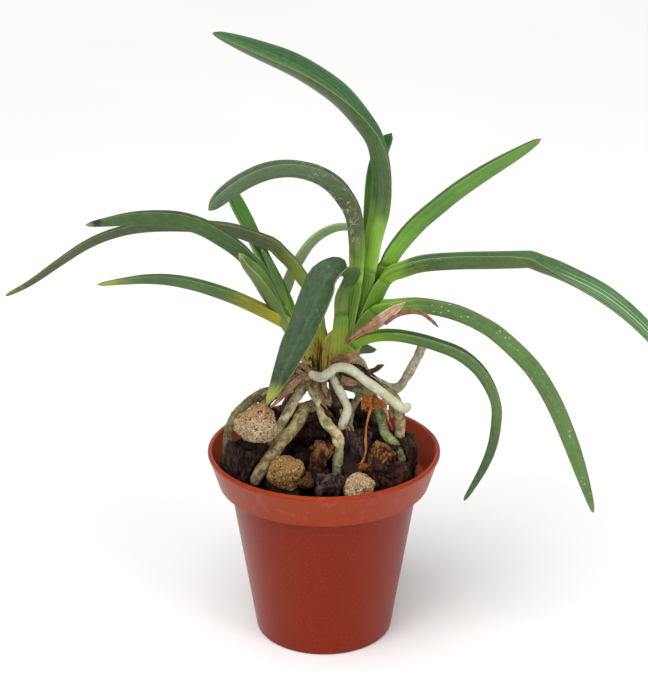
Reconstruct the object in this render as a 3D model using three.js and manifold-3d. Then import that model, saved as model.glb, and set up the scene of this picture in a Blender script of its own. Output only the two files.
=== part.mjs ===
// A young wind orchid in a small plastic pot.
// Two fans of keeled, channelled leaves stand on a heap of bark and pumice, held up by thick grey-green roots.
// Millimetres, +Z up, the front of the plant towards -Y. The origin is the middle of the pot's flat underside.
import * as THREE from "three";
import { mergeVertices } from "three/addons/utils/BufferGeometryUtils.js";
import Module from "manifold-3d";

const wasm = await Module();
wasm.setup();

// Driving dimensions.
const POT = {
  height: 47,
  rimRadius: 27.5,
  lip: 1.2,
  bandHeight: 8.4,
  bandFootRadius: 25.1,
  shoulderRadius: 22.4,
  baseRadius: 16.5,
  wall: 0.9,
  floor: 1.4,
  facets: 48,
};
const DRAIN = { holes: 5, radius: 2, ring: 10, facets: 12 };
const HEAP = { top: 51, fall: 0.0095, frontTilt: 0.1, rightEdge: 12, rightTilt: 0.6, facets: 24, chips: 30 };
const GAP = 0.3;
const BLADE = { keel: 1.3, edge: 0.6, steps: 18 };
const ROOT = { sides: 7, stepLength: 3.2, swelling: 0.07 };
const SHEATH_STEPS = 5;
const SEED = 20;

const DEGREES = Math.PI / 180;
const point = ([x, y, z]) => new THREE.Vector3(x, y, z);
const mix = (a, b, share) => a + (b - a) * share;

// The value at a share of the way along an evenly spaced list.
function pick(list, share) {
  const place = share * (list.length - 1);
  const before = Math.min(Math.floor(place), list.length - 2);
  return mix(list[before], list[before + 1], place - before);
}

// Finishes.
const finish = (color, roughness) => new THREE.MeshStandardMaterial({ color, roughness, metalness: 0 });
const FINISH = {
  pot: finish(0xa83a24, 0.4),
  bark: finish(0x3a2620, 0.9),
  heap: finish(0x261a17, 0.95),
  pumice: finish(0xb99a6c, 0.95),
  root: finish(0x8f9070, 0.8),
  youngRoot: finish(0xb9c4a4, 0.6),
  deadRoot: finish(0xb5621f, 0.8),
  leaf: finish(0x3f6b38, 0.45),
  youngLeaf: finish(0x5f9440, 0.45),
  sheath: finish(0x7c9a35, 0.5),
  straw: finish(0xa07a55, 0.85),
};

// Random numbers that are the same on every run.
function seeded(seed) {
  let state = seed >>> 0;
  return () => {
    state = (state + 0x6d2b79f5) >>> 0;
    let n = Math.imul(state ^ (state >>> 15), 1 | state);
    n = (n + Math.imul(n ^ (n >>> 7), 61 | n)) ^ n;
    return ((n ^ (n >>> 14)) >>> 0) / 4294967296;
  };
}

// A closed geometry as a solid, and a solid as a geometry.
function solid(geometry) {
  const bare = new THREE.BufferGeometry().setAttribute("position", geometry.getAttribute("position"));
  if (geometry.index) bare.setIndex(geometry.index);
  const merged = mergeVertices(bare, 1e-4);
  const vertProperties = merged.attributes.position.array;
  const triVerts = new Uint32Array(merged.index.array);
  return new wasm.Manifold(new wasm.Mesh({ numProp: 3, vertProperties, triVerts }));
}

function geometryOf(body) {
  const mesh = body.getMesh();
  return new THREE.BufferGeometry()
    .setAttribute("position", new THREE.BufferAttribute(Float32Array.from(mesh.vertProperties), 3))
    .setIndex(new THREE.BufferAttribute(Uint32Array.from(mesh.triVerts), 1));
}

// A closed tube: place(corner, share) gives a corner of the section a share of the way along, and corner -1 its middle.
function sweep(sides, steps, place) {
  const tube = new THREE.CylinderGeometry(1, 1, 1, sides, steps);
  const at = tube.attributes.position;
  for (let i = 0; i < at.count; i++) {
    const onAxis = Math.hypot(at.getX(i), at.getZ(i)) < 0.5;
    const turn = Math.atan2(at.getX(i), at.getZ(i)) / (2 * Math.PI);
    const corner = onAxis ? -1 : (Math.round(turn * sides) + sides) % sides;
    at.setXYZ(i, ...place(corner, at.getY(i) + 0.5).toArray());
  }
  return solid(tube);
}

// The line that a leaf, sheath or root follows, with the ways its upper side faces, evenly spaced along it.
// extra lengthens both ends.
function line(points, faces, extra = 0) {
  const curve = new THREE.CatmullRomCurve3(points.map(point), false, "catmullrom", 0.5);
  const length = curve.getLength();
  return (share) => {
    const tangent = curve.getTangentAt(share);
    const past = share === 0 ? -extra : share === 1 ? extra : 0;
    const centre = curve.getPointAt(share).addScaledVector(tangent, past);
    const up = point([0, 1, 2].map((axis) => pick(faces.map((face) => face[axis]), share)));
    up.addScaledVector(tangent, -up.dot(tangent)).normalize();
    const side = up.clone().cross(tangent);
    return { centre, tangent, up, side, length };
  };
}

const along = ({ centre, side, up }, across, high) =>
  centre.clone().addScaledVector(side, across).addScaledVector(up, high);

// A leaf blade: two arms of a V that open from the keel, as long as the list of arms says, and narrowed to the tip.
function blade({ spine, face, arms, open, taper, keel = BLADE.keel, steps = BLADE.steps }, extra = 0) {
  const at = line(spine, face, extra);
  return sweep(6, steps, (corner, share) => {
    const station = at(share);
    const tip = Math.pow(Math.max(0, 1 - Math.pow(share, taper)), 0.7);
    const arm = Math.max(0.4, pick(arms, share) * tip) + extra;
    const angle = pick(open, share) * DEGREES;
    const thin = mix(0.5, 1, Math.min(1, arm / arms[0]));
    const heel = keel * thin + extra;
    const edge = BLADE.edge + 2 * extra;
    const rise = 0.5 * (heel - arm * Math.cos(angle));
    const inner = [arm * Math.sin(angle), arm * Math.cos(angle) + rise];
    const outer = [inner[0] + edge * Math.cos(angle), inner[1] - edge * Math.sin(angle)];
    const ring = [outer, inner, [0, rise + extra], [-inner[0], inner[1]], [-outer[0], outer[1]], [0, rise - heel]];
    const [across, high] = corner < 0 ? [0, rise - heel / 2] : ring[corner];
    return along(station, across, high);
  });
}

// A leaf's sheath: a folded, pointed wedge, keel outwards, that clasps the ones inside it.
function sheath({ spine, face, half, plump }, extra = 0) {
  const at = line(spine, face, extra);
  return sweep(6, SHEATH_STEPS, (corner, share) => {
    const station = at(share);
    const arm = mix(half[0], half[1], share) + extra;
    const thick = mix(plump[0], plump[1], share) + extra;
    const ring = [
      [thick * 0.8, -arm * 0.2],
      [thick * 0.75, arm * 0.7],
      [0, arm * 0.85],
      [-thick * 0.75, arm * 0.7],
      [-thick * 0.8, -arm * 0.2],
      [0, -arm],
    ];
    const [across, high] = corner < 0 ? [0, 0] : ring[corner];
    return along(station, across, high);
  });
}

// A root: a round, slightly knotty cord with domed ends.
function root({ spine, radius, tip = 0.75, head = 1 }, extra = 0) {
  const at = line(spine, [[0.3, -0.9, 0.3], [0.3, -0.9, 0.3]], extra);
  const { length } = at(0);
  const steps = Math.max(4, Math.round(length / ROOT.stepLength));
  return sweep(ROOT.sides, steps, (corner, share) => {
    const station = at(share);
    const knots = 1 + ROOT.swelling * Math.sin(share * length * 0.9 + radius * 40);
    const end = share === 0 ? head : share === 1 ? tip : 1;
    const around = (corner / ROOT.sides) * 2 * Math.PI;
    const reach = radius * knots * end + extra;
    if (corner < 0) return station.centre.addScaledVector(station.tangent, (share ? 0.45 : -0.45) * radius);
    return along(station, reach * Math.sin(-around), reach * Math.cos(around));
  });
}

// A lump of pumice or a knot of fibres: a ball with hollows and bosses.
function lump({ at, radii, seed, rough = 0.13, detail = 2 }, extra = 0) {
  const ball = new THREE.IcosahedronGeometry(1, detail);
  const place = ball.attributes.position;
  for (let i = 0; i < place.count; i++) {
    const v = new THREE.Vector3().fromBufferAttribute(place, i);
    const swell =
      1 +
      rough * Math.sin(3.1 * v.x + seed) * Math.cos(2.7 * v.y - seed) +
      rough * 0.8 * Math.sin(4.3 * v.z + 2 * seed + v.x * 2);
    v.multiplyScalar(swell).multiply(point(radii.map((r) => r + extra)));
    place.setXYZ(i, v.x + at[0], v.y + at[1], v.z + at[2]);
  }
  return solid(ball);
}

// A piece of bark: a split block with broken faces.
function chunk({ at, size, turn, seed, cuts = 2 }, extra = 0) {
  const block = new THREE.BoxGeometry(1, 1, 1, cuts, 1, cuts);
  const random = seeded(seed);
  const shifts = new Map();
  const place = block.attributes.position;
  for (let i = 0; i < place.count; i++) {
    const v = new THREE.Vector3().fromBufferAttribute(place, i);
    const key = v.toArray().map((n) => n.toFixed(2)).join();
    if (!shifts.has(key)) shifts.set(key, [0, 1, 2].map(() => 1 + (random() - 0.62) * 0.42));
    v.multiply(point(shifts.get(key))).multiply(point(size.map((s) => s + 2 * extra)));
    place.setXYZ(i, v.x, v.y, v.z);
  }
  block.applyMatrix4(new THREE.Matrix4().makeRotationFromEuler(new THREE.Euler(...turn)));
  block.translate(...at);
  return solid(block);
}

// The pot: a tapered cup with a deep flared band, a rounded lip and drain holes.
function potSolid() {
  const { height, rimRadius, lip, bandHeight, bandFootRadius, shoulderRadius, baseRadius, wall, floor } = POT;
  const ledge = height - bandHeight;
  const profile = [
    [0, 0],
    [baseRadius - 0.7, 0],
    [baseRadius, 0.7],
    [shoulderRadius, ledge],
    [bandFootRadius - 0.3, ledge],
    [bandFootRadius, ledge + 0.3],
    [rimRadius - 0.25, height - lip],
    [rimRadius, height - lip * 0.7],
    [rimRadius, height - 0.35],
    [rimRadius - 0.35, height],
    [rimRadius - wall, height],
    [rimRadius - wall - 0.2, height - 0.4],
    [bandFootRadius - wall, ledge + wall + 0.2],
    [shoulderRadius - wall, ledge + wall],
    [baseRadius - wall, floor],
    [0, floor],
  ].map(([r, z]) => new THREE.Vector2(r, z));
  const cup = new THREE.LatheGeometry(profile, POT.facets).rotateX(Math.PI / 2);
  let body = solid(cup);
  for (let i = 0; i < DRAIN.holes; i++) {
    const around = ((i + 0.5) / DRAIN.holes) * 2 * Math.PI;
    const bore = new THREE.CylinderGeometry(DRAIN.radius, DRAIN.radius, 4 * floor, DRAIN.facets);
    bore.rotateX(Math.PI / 2).translate(DRAIN.ring * Math.cos(around), DRAIN.ring * Math.sin(around), floor / 2);
    body = body.subtract(solid(bore));
  }
  return body;
}

// The room that the pot leaves: its inside, kept clear of the wall, and everything above the rim.
function roomOfPot() {
  const { height, rimRadius, bandHeight, bandFootRadius, shoulderRadius, baseRadius, wall, floor } = POT;
  const ledge = height - bandHeight + wall;
  const profile = [
    [0, floor + GAP],
    [baseRadius - wall - GAP, floor + GAP],
    [shoulderRadius - wall - GAP, ledge + GAP],
    [bandFootRadius - wall - GAP, ledge + GAP + 0.3],
    [rimRadius - wall - 0.2 - GAP, height + GAP],
    [3 * rimRadius, height + GAP + 1],
    [3 * rimRadius, 4 * height],
    [0, 4 * height],
  ].map(([r, z]) => new THREE.Vector2(r, z));
  return solid(new THREE.LatheGeometry(profile, POT.facets).rotateX(Math.PI / 2));
}

function heapHeight(x, y) {
  const mound = HEAP.top - HEAP.fall * (x * x + y * y) + HEAP.frontTilt * Math.min(y, 0);
  return mound - HEAP.rightTilt * Math.max(x - HEAP.rightEdge, 0);
}

// The heap of potting bark: a mound with small chips standing out of it.
function heapSolid() {
  const rings = [24.5, 18, 11, 5];
  const top = rings.map((r) => new THREE.Vector2(r, 1));
  const profile = [new THREE.Vector2(0, 0), new THREE.Vector2(26, 0), new THREE.Vector2(26, 1), ...top, new THREE.Vector2(0, 1)];
  const mound = new THREE.LatheGeometry(profile, HEAP.facets).rotateX(Math.PI / 2);
  const place = mound.attributes.position;
  for (let i = 0; i < place.count; i++) {
    if (place.getZ(i) > 0.5) place.setZ(i, heapHeight(place.getX(i), place.getY(i)) - 2.2);
  }
  let body = solid(mound);
  const random = seeded(SEED);
  for (let i = 0; i < HEAP.chips; i++) {
    const around = i * 2.39996;
    const out = 22 * Math.sqrt((i + 0.5) / HEAP.chips);
    const [x, y] = [out * Math.cos(around), out * Math.sin(around)];
    const size = [mix(4.5, 8, random()), mix(2.5, 4.5, random()), mix(4, 6.5, random())];
    const turn = [random() * 3, random() * 3, random() * 3];
    const z = heapHeight(x, y) - 2.4 + random() * 1.6;
    body = body.add(chunk({ at: [x, y, z], size, turn, seed: SEED + i, cuts: 1 }));
  }
  return body;
}

// Every piece gives way to the ones placed before it, with a gap between them, and stays one body.
const placed = [];
const meet = (a, b) => [0, 1, 2].every((i) => a.min[i] < b.max[i] && b.min[i] < a.max[i]);

function largest(body) {
  const bodies = body.decompose();
  return bodies.reduce((best, other) => (other.volume() > best.volume() ? other : best));
}

const room = roomOfPot();

function add(group, name, material, anchor, make, inPot = true) {
  let body = make(0);
  const box = body.boundingBox();
  for (const other of placed) if (meet(box, other.box)) body = body.subtract(other.grown);
  if (inPot) body = body.intersect(room);
  body = largest(body);
  const mesh = new THREE.Mesh(geometryOf(body).translate(-anchor[0], -anchor[1], -anchor[2]), material);
  mesh.name = name;
  mesh.position.set(...anchor);
  group.add(mesh);
  const grown = make(GAP);
  placed.push({ grown, box: grown.boundingBox() });
}

const orchid = new THREE.Group();
orchid.name = "potted_wind_orchid";
const named = (name) => {
  const group = new THREE.Group();
  group.name = name;
  orchid.add(group);
  return group;
};
const holder = named("holder");
const rightFan = named("right_fan_group");
const leftFan = named("left_fan_group");
const roots = named("roots");
const litter = named("litter");
const potting = named("potting");

// The stems: the sheaths of each fan, with the short stem that they rise from.
const RIGHT_SHEATHS = [
  { spine: [[2, 0, 66], [4, -1.5, 70.5], [6, -2, 73]], face: [[-1, 0, 0.3], [-0.6, 0, 0.8]], half: [2.4, 1.5], plump: [2.6, 1.4] },
  { spine: [[2.5, -1, 67.5], [3.2, -2.4, 74.5], [3.5, -3.1, 81.1]], face: [[0.8, 0.5, 0], [0.8, 0.5, 0]], half: [2.6, 1.8], plump: [2.2, 1.5] },
  { spine: [[3, 0, 67], [5, -1, 78.5], [7, -1.6, 88]], face: [[1, 0, 0], [1, 0, 0]], half: [2.8, 1.9], plump: [2.6, 1.5] },
  { spine: [[3.5, 1, 67], [7.3, 0.8, 79.5], [10, 0.5, 90.5]], face: [[1, 0, 0], [1, 0, 0]], half: [2.8, 2.3], plump: [2.6, 1.7] },
  { spine: [[4, 2, 67], [9, 2, 79.5], [14, 2, 91]], face: [[-1, 0, 0.3], [-1, 0, 0.5]], half: [2.8, 2.3], plump: [2.4, 1.6] },
  { spine: [[4, 1, 67], [9, 0, 78], [13.3, -0.3, 88]], face: [[-1, 0, 0.3], [-1, 0, 0.8]], half: [2.8, 2.2], plump: [2.7, 1.7] },
  { spine: [[3, 0, 66.5], [7, -0.8, 74.5], [11, -1.2, 81]], face: [[-1, 0, 0.3], [-0.8, 0, 0.8]], half: [2.7, 2], plump: [2.8, 1.6] },
];
const LEFT_SHEATHS = [
  { spine: [[-1, 3.4, 65.5], [-1.2, 4.4, 74], [-2.2, 4.9, 82.4]], face: [[1, 0, 0], [1, 0, 0.3]], half: [2.4, 1.7], plump: [2.2, 1.5] },
  { spine: [[-1.5, 3, 66], [-6, 3, 73.5], [-9.8, 2.5, 81]], face: [[1, 0, 0.2], [1, 0, 0.5]], half: [2.5, 1.9], plump: [2.2, 1.5] },
  { spine: [[-2, 3, 65.5], [-4.5, 2, 71.5], [-7.5, 1, 76.5]], face: [[0.8, 0, 0.6], [0.6, 0, 0.8]], half: [2.4, 1.9], plump: [2.3, 1.6] },
  { spine: [[-1.5, 5, 65], [-5, 6.8, 72], [-8.3, 8.2, 79]], face: [[-1, 0, 0.2], [-1, 0, 0.3]], half: [2.2, 1.8], plump: [2.2, 1.6] },
];
const RIGHT_STEM = { spine: [[1.2, 1.2, 63], [2.6, 1, 69], [4.4, 0.2, 77]], radius: 3.4, head: 0.7 };
const LEFT_STEM = { spine: [[-0.6, 2.6, 63.4], [-2.8, 3.6, 69], [-5, 4.2, 75]], radius: 3, head: 0.7 };

const fan = (sheaths, stem) => (extra) =>
  sheaths.reduce((body, each) => body.add(sheath(each, extra)), root(stem, extra));

add(rightFan, "right_stem_and_sheaths", FINISH.sheath, RIGHT_STEM.spine[0], fan(RIGHT_SHEATHS, RIGHT_STEM));
add(leftFan, "left_stem_and_sheaths", FINISH.sheath, LEFT_STEM.spine[0], fan(LEFT_SHEATHS, LEFT_STEM));

// The leaves, each by its own midline, from its joint to its tip.
const RIGHT_LEAVES = {
  leaf_front_bent: {
    spine: [[3.6, -3.2, 81.7], [3.6, -3.6, 85.8], [4.3, -4, 88.3], [5.4, -5, 90.8], [5.6, -6.5, 93.2], [4, -8.2, 94.5], [2, -9.6, 94], [0.2, -10.4, 92.6], [-0.8, -11, 90.3], [-2.8, -12, 85.5], [-4.7, -13, 81.1], [-6.4, -13.6, 78], [-8, -14.6, 74.5], [-10.4, -16.2, 69.6], [-13, -18.4, 65.6]],
    face: [[0.8, 0.5, 0], [0.7, 0.6, 0.3], [0.3, 0.1, 1], [-0.35, -0.8, 0.45], [-0.35, -0.85, 0.35], [-0.3, -0.9, 0.35], [-0.3, -0.9, 0.3], [-0.3, -0.9, 0.3]],
    arms: [2, 2.2, 3.5, 4.4, 4.2, 3.9, 3.4, 2.7], open: [28, 28, 46, 60, 62, 60, 58, 52], taper: 5, steps: 26,
  },
  leaf_arching: {
    spine: [[7.1, -1.7, 88.6], [7.4, -2, 94.2], [7.4, -2, 99.1], [6.7, -2.3, 104.8], [4.7, -2.8, 109], [2, -3.3, 112.4], [-2, -4.1, 115], [-7.1, -4.9, 116.3], [-12.2, -5.8, 116], [-17, -6.7, 114.2], [-21.4, -7.4, 111.4], [-25.5, -8, 107.8]],
    face: [[1, 0, 0.1], [1, 0, 0.3], [0.4, 0, 1], [-0.3, -0.1, 1], [-0.6, -0.2, 0.8]],
    arms: [2.2, 2.8, 3.3, 2.8, 2.9, 3.2], open: [28, 28, 30, 30], taper: 14, steps: 20,
  },
  leaf_tall: {
    spine: [[10.1, 0.4, 91.1], [11.1, 0.2, 98.5], [12.4, 0, 105], [13, -0.5, 112], [11.6, -1.6, 120.6], [8.5, -2.2, 126], [2.8, -3.2, 132.3], [-5.4, -4, 138], [-14.6, -4, 142.2], [-24, -4, 146.3]],
    face: [[1, 0, 0.1], [1, 0, 0.2], [0.8, -0.2, 0.6], [0.3, -0.5, 0.9], [0.25, -0.55, 0.85], [0.2, -0.5, 0.85]],
    arms: [2.6, 3.8, 3.1, 4.3, 5, 5], open: [28, 28, 30, 38, 42], taper: 4.4, steps: 24,
  },
  leaf_inner: {
    spine: [[10.8, 3.2, 91], [11, 4.4, 101.5], [11.7, 6, 110.5], [13.3, 7, 116.5], [15.3, 8, 121.2]],
    face: [[-1, -0.4, 0], [-0.7, -0.8, 0.2]],
    arms: [2.2, 2.5, 2.4, 2.2], open: [28, 30, 44], taper: 12, steps: 12,
  },
  leaf_rising: {
    spine: [[14.3, 2, 91.6], [17.2, 2.5, 96.4], [21.2, 3, 101.1], [25.5, 3.6, 104.8], [29.9, 4.3, 108.3], [34.5, 5, 111.4], [39.3, 5.7, 114.3], [44.2, 6.4, 117.1], [49, 7, 120.1]],
    face: [[-1, 0.1, 0.6], [-0.4, 0, 0.9]],
    arms: [2.8, 3.1, 3, 2.9, 2.8, 2.8], open: [28, 28, 28], taper: 5, steps: 14,
  },
  leaf_kinked: {
    spine: [[13.7, -0.4, 88.8], [18.4, -0.6, 91.5], [22.8, -1.1, 93], [30, -2, 93.9], [37.5, -2.8, 94.3], [44, -3.8, 94.7], [46.4, -4.3, 94.8], [48.4, -4.8, 94], [53.1, -5.8, 92.3], [62.3, -7.8, 87.9], [70.3, -10.2, 82], [76.5, -12.4, 75.4], [81.5, -14.2, 68]],
    face: [[-1, 0, 1], [-0.1, 0, 1], [0.1, -0.1, 1], [0.3, -0.7, 0.85], [0.45, -0.8, 0.65], [0.65, -0.75, 0.5]],
    arms: [2.5, 2.9, 2.9, 3, 3, 2.9, 2.8], open: [28, 28, 28, 46, 58, 58, 56], taper: 5, steps: 24,
  },
  leaf_long: {
    spine: [[11.4, -1.3, 81.6], [16.1, -2.6, 83.2], [21.1, -3.4, 83.9], [26, -3.9, 83.4], [30.8, -4.6, 82.3], [35.3, -5.2, 80.4], [39.5, -5.9, 77.8], [46.7, -7.3, 71], [52.1, -8.4, 62.8], [56.2, -9.5, 53.7], [59.7, -10.3, 44.4], [63, -11, 35]],
    face: [[-1, 0.2, 0.9], [0.1, 0.3, 1], [0.8, 0.45, 0.7], [1, 0.5, 0.2]],
    arms: [2.4, 2.6, 3, 3.3, 3.8, 3.9], open: [28, 28, 28], taper: 3, steps: 20,
  },
  leaf_hooked: {
    spine: [[6.4, -2.2, 73.6], [11, -3, 76], [16, -4, 76.7], [20.9, -4.9, 76.2], [26, -5.9, 75], [30.8, -6.9, 73.3], [34.9, -7.4, 70.1], [37.8, -8, 66], [39.6, -8, 61.3], [39.7, -8, 56.2], [39, -8, 50.9], [37.4, -8, 45.9], [35.2, -8, 41.2], [32.8, -8, 36.6]],
    face: [[-0.9, 0, 1], [0.1, 0, 1], [0.8, 0, 0.8], [1, 0, -0.3]],
    arms: [1.6, 1.8, 2, 1.6, 1.7, 1.7], open: [28, 30, 30, 28], taper: 4, steps: 22,
  },
  leaf_small_back: {
    spine: [[4.6, 4.6, 67.5], [7, 6.5, 68.6], [9.5, 8.3, 68.6], [12.6, 10, 67.6]],
    face: [[0, 0, 1], [0.2, 0.2, 1]], arms: [1.6, 2, 1.8], open: [50, 55, 50], taper: 4, steps: 8,
  },
};
const LEFT_LEAVES = {
  leaf_left_broad: {
    spine: [[-10, 2.4, 81.6], [-12.5, 2, 86.2], [-15.5, 1.7, 90.8], [-18.9, 1.3, 95], [-23, 1, 98.3], [-27.7, 1, 101.1], [-32.9, 1, 102.7], [-38.2, 1, 103.2], [-43.3, 1, 103.1], [-48.7, 1, 102.4], [-54, 1, 101.6]],
    face: [[1, 0.1, 0.5], [0.6, 0.1, 1], [0, 0.1, 1], [-0.2, 0.15, 1]],
    arms: [1.7, 2.4, 2.9, 3.1, 2.7, 2.2], open: [28, 28, 28], taper: 4.6,
  },
  leaf_left_long: {
    spine: [[-2.4, 5, 83], [-4.9, 5.5, 87.1], [-7.6, 6.3, 90.8], [-9.7, 6.8, 92.8], [-11.8, 7.3, 94.8], [-14.8, 7.8, 95.9], [-17.5, 8.2, 96.9], [-23.1, 8.6, 98.3], [-33.3, 9.2, 98.8], [-42.5, 9.3, 98.3], [-49.5, 9.1, 96.7], [-55.4, 8.8, 94.1], [-61.3, 8.3, 90.3], [-68.5, 7.6, 85.4], [-74.4, 7, 82.4]],
    face: [[1, 0, 0.3], [0.6, 0, 1], [0, 0, 1], [-0.4, 0, 0.9]],
    arms: [1.9, 2.2, 1.8, 1.5, 1.3, 1.2], open: [28, 28, 30], taper: 6, steps: 24,
  },
  leaf_left_short: {
    spine: [[-10.5, -0.6, 81.2], [-12.3, -1.2, 85], [-15.1, -2, 90.1], [-17.4, -2.8, 93.3], [-19.2, -3.4, 96.6]],
    face: [[1, 0, 0.5], [0.7, -0.5, 0.6]], arms: [1.8, 2.7, 3, 2.6], open: [28, 36, 42], taper: 4, steps: 8,
  },
  leaf_left_upright: {
    spine: [[-8.6, 8.4, 79.5], [-11.5, 9.4, 85], [-14.7, 10.8, 90.6], [-18, 13, 97.3], [-20.3, 14.4, 101.6], [-22, 15, 105]],
    face: [[1, -0.6, 0.2], [0.6, -0.8, 0.4]], arms: [2, 2.4, 2.4, 2], open: [30, 38, 42], taper: 5, keel: 1.1, steps: 12,
  },
  leaf_left_sliver: {
    spine: [[-8, 5.6, 78], [-9.6, 5.4, 83], [-12.1, 5, 90], [-14.5, 4.6, 95]],
    face: [[1, -0.3, 0.3], [1, -0.5, 0.3]], arms: [0.8, 1, 0.8], open: [30, 30, 30], taper: 5, keel: 1, steps: 8,
  },
  leaf_left_low: {
    spine: [[-7.6, 0.8, 77], [-11, -0.2, 79.7], [-15.9, -1.7, 82.9], [-20.2, -3.1, 85.5], [-24.8, -4.2, 87.7], [-29.7, -5, 89.5], [-34.9, -5.6, 90.7], [-40.1, -6.2, 91.1], [-45.3, -7, 90.9], [-50.8, -8, 90.5]],
    face: [[0.6, 0, 1], [0, 0, 1]], arms: [2, 2.1, 2.1, 2, 1.9, 1.5], open: [28, 30, 30], taper: 3, steps: 16,
  },
  leaf_left_back_arch: {
    spine: [[-9.3, 9.9, 79.6], [-8.6, 11, 84], [-7, 11.8, 87.6], [-5.3, 12.2, 90.5], [-2.9, 13.2, 93.6], [0.5, 14.1, 95.9], [4.5, 15, 96.8], [9, 16, 95.4], [13, 17, 92]],
    face: [[-1, 0.1, 0.2], [-0.7, 0.1, 0.9], [0.5, 0.1, 0.9]], arms: [2, 1.9, 1.5, 1.3, 1.2], open: [28, 30, 30], taper: 5, keel: 1.1, steps: 14,
  },
};
const YOUNG_LEAVES = ["leaf_rising", "leaf_inner", "leaf_left_upright", "leaf_left_sliver"];
for (const [fanGroup, leaves] of [[rightFan, RIGHT_LEAVES], [leftFan, LEFT_LEAVES]]) {
  for (const [name, leaf] of Object.entries(leaves)) {
    const material = YOUNG_LEAVES.includes(name) ? FINISH.youngLeaf : FINISH.leaf;
    add(fanGroup, name, material, leaf.spine[0], (extra) => blade(leaf, extra), false);
  }
}

// The roots, from the foot of the stems down into the bark.
const ROOTS = {
  root_young_long: {
    spine: [[-3.7, -4.4, 67.9], [-2.3, -5, 67.3], [-0.5, -6, 67.3], [1.1, -6.2, 68.4], [3, -6.2, 69.8], [6, -6.4, 69.4], [9.9, -6.7, 66.4], [13.8, -7.2, 63.6], [17, -8, 61.2], [18.6, -8.2, 60.4], [19.8, -8.2, 61.8]],
    radius: 1.05, head: 0.8,
  },
  root_young_short: { spine: [[2, -1.6, 68], [2.1, -4.2, 66.4], [4.6, -5.4, 61.6], [5.4, -6.2, 59.2], [4.3, -7.4, 56.2], [3.9, -8, 54.7]], radius: 1 },
  root_front: { spine: [[-1.8, -0.4, 65.8], [-2.8, -3.4, 64.5], [-0.9, -6, 60.4], [0.7, -9, 57], [2.9, -11, 55.2], [3.4, -12.4, 52.1], [3, -13.2, 44]], radius: 1.2 },
  root_front_left: { spine: [[-0.6, 0.4, 59], [-2.6, -2.4, 58.6], [-4.2, -4, 58.7], [-5.3, -6, 57.6], [-6.9, -8.6, 56], [-11.2, -13, 52.2], [-16.4, -17.6, 45.4]], radius: 1.4 },
  root_left_inner: { spine: [[-1.8, 0.8, 65], [-5.2, -3, 62.8], [-8.3, -6, 58.6], [-10.4, -8.6, 54.9], [-12, -10, 47]], radius: 1.05 },
  root_left: { spine: [[-1.6, 2, 63.6], [-6.5, 1.4, 61.8], [-11, 0.4, 61.2], [-14.7, -0.6, 60.6], [-17.8, -1.2, 59], [-20, -2, 56.6], [-21.8, -2.8, 53.6], [-22.6, -3, 49.6], [-23, -3, 43]], radius: 1.15 },
  root_right_inner: { spine: [[4.6, 1.6, 63.8], [8, 0.2, 60.5], [6.6, -1.4, 57.6], [5.9, -2.6, 54], [5.6, -3, 49]], radius: 0.8 },
  root_right_green: { spine: [[2.6, 0.4, 63.4], [5, -1.8, 63.3], [7.9, -2.8, 63.1], [10.9, -4, 61.8], [12.7, -5.2, 59.4], [13.4, -6.2, 56.6], [14.4, -7.2, 53.4], [17, -8.6, 51], [18.4, -9.2, 47]], radius: 1 },
  root_right_thick: { spine: [[8.6, 1.2, 62.4], [13, -0.8, 61.8], [16.4, -2.8, 60.6], [17.3, -4, 57.6], [17.7, -4.6, 55], [17.7, -5.2, 52], [17.6, -5.4, 46]], radius: 1.3 },
  root_aerial: { spine: [[3.2, 4.2, 68], [5.9, 5.2, 67.8], [8.5, 6.2, 66], [10.4, 6.7, 62.6], [12.8, 6.4, 60.9], [15.9, 5.2, 59.8], [18, 4.4, 60.8], [20, 3, 64.9], [21.8, 1.8, 69.2], [23.2, 0.6, 73.4]], radius: 1.05 },
  root_back_left: { spine: [[-1.4, 4.4, 65], [-5, 9, 61], [-8.5, 13, 53.5], [-10, 15.4, 42]], radius: 1.2 },
  root_back_middle: { spine: [[1, 4, 64], [2.6, 9.4, 61], [2.4, 14, 55.5], [4, 18, 42]], radius: 1.25 },
  root_back_right: { spine: [[3.4, 3.4, 63.8], [7, 9.6, 59.5], [11.4, 13, 52.5], [13, 15, 42]], radius: 1.1 },
  root_far_left: { spine: [[-2.2, 4.2, 64], [-8, 7.4, 60.5], [-14, 9, 54.5], [-17, 10, 42]], radius: 1.15 },
};
const YOUNG_ROOTS = ["root_young_long", "root_young_short"];
for (const [name, each] of Object.entries(ROOTS)) {
  const material = YOUNG_ROOTS.includes(name) ? FINISH.youngRoot : FINISH.root;
  add(roots, name, material, each.spine[0], (extra) => root(each, extra));
}

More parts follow.
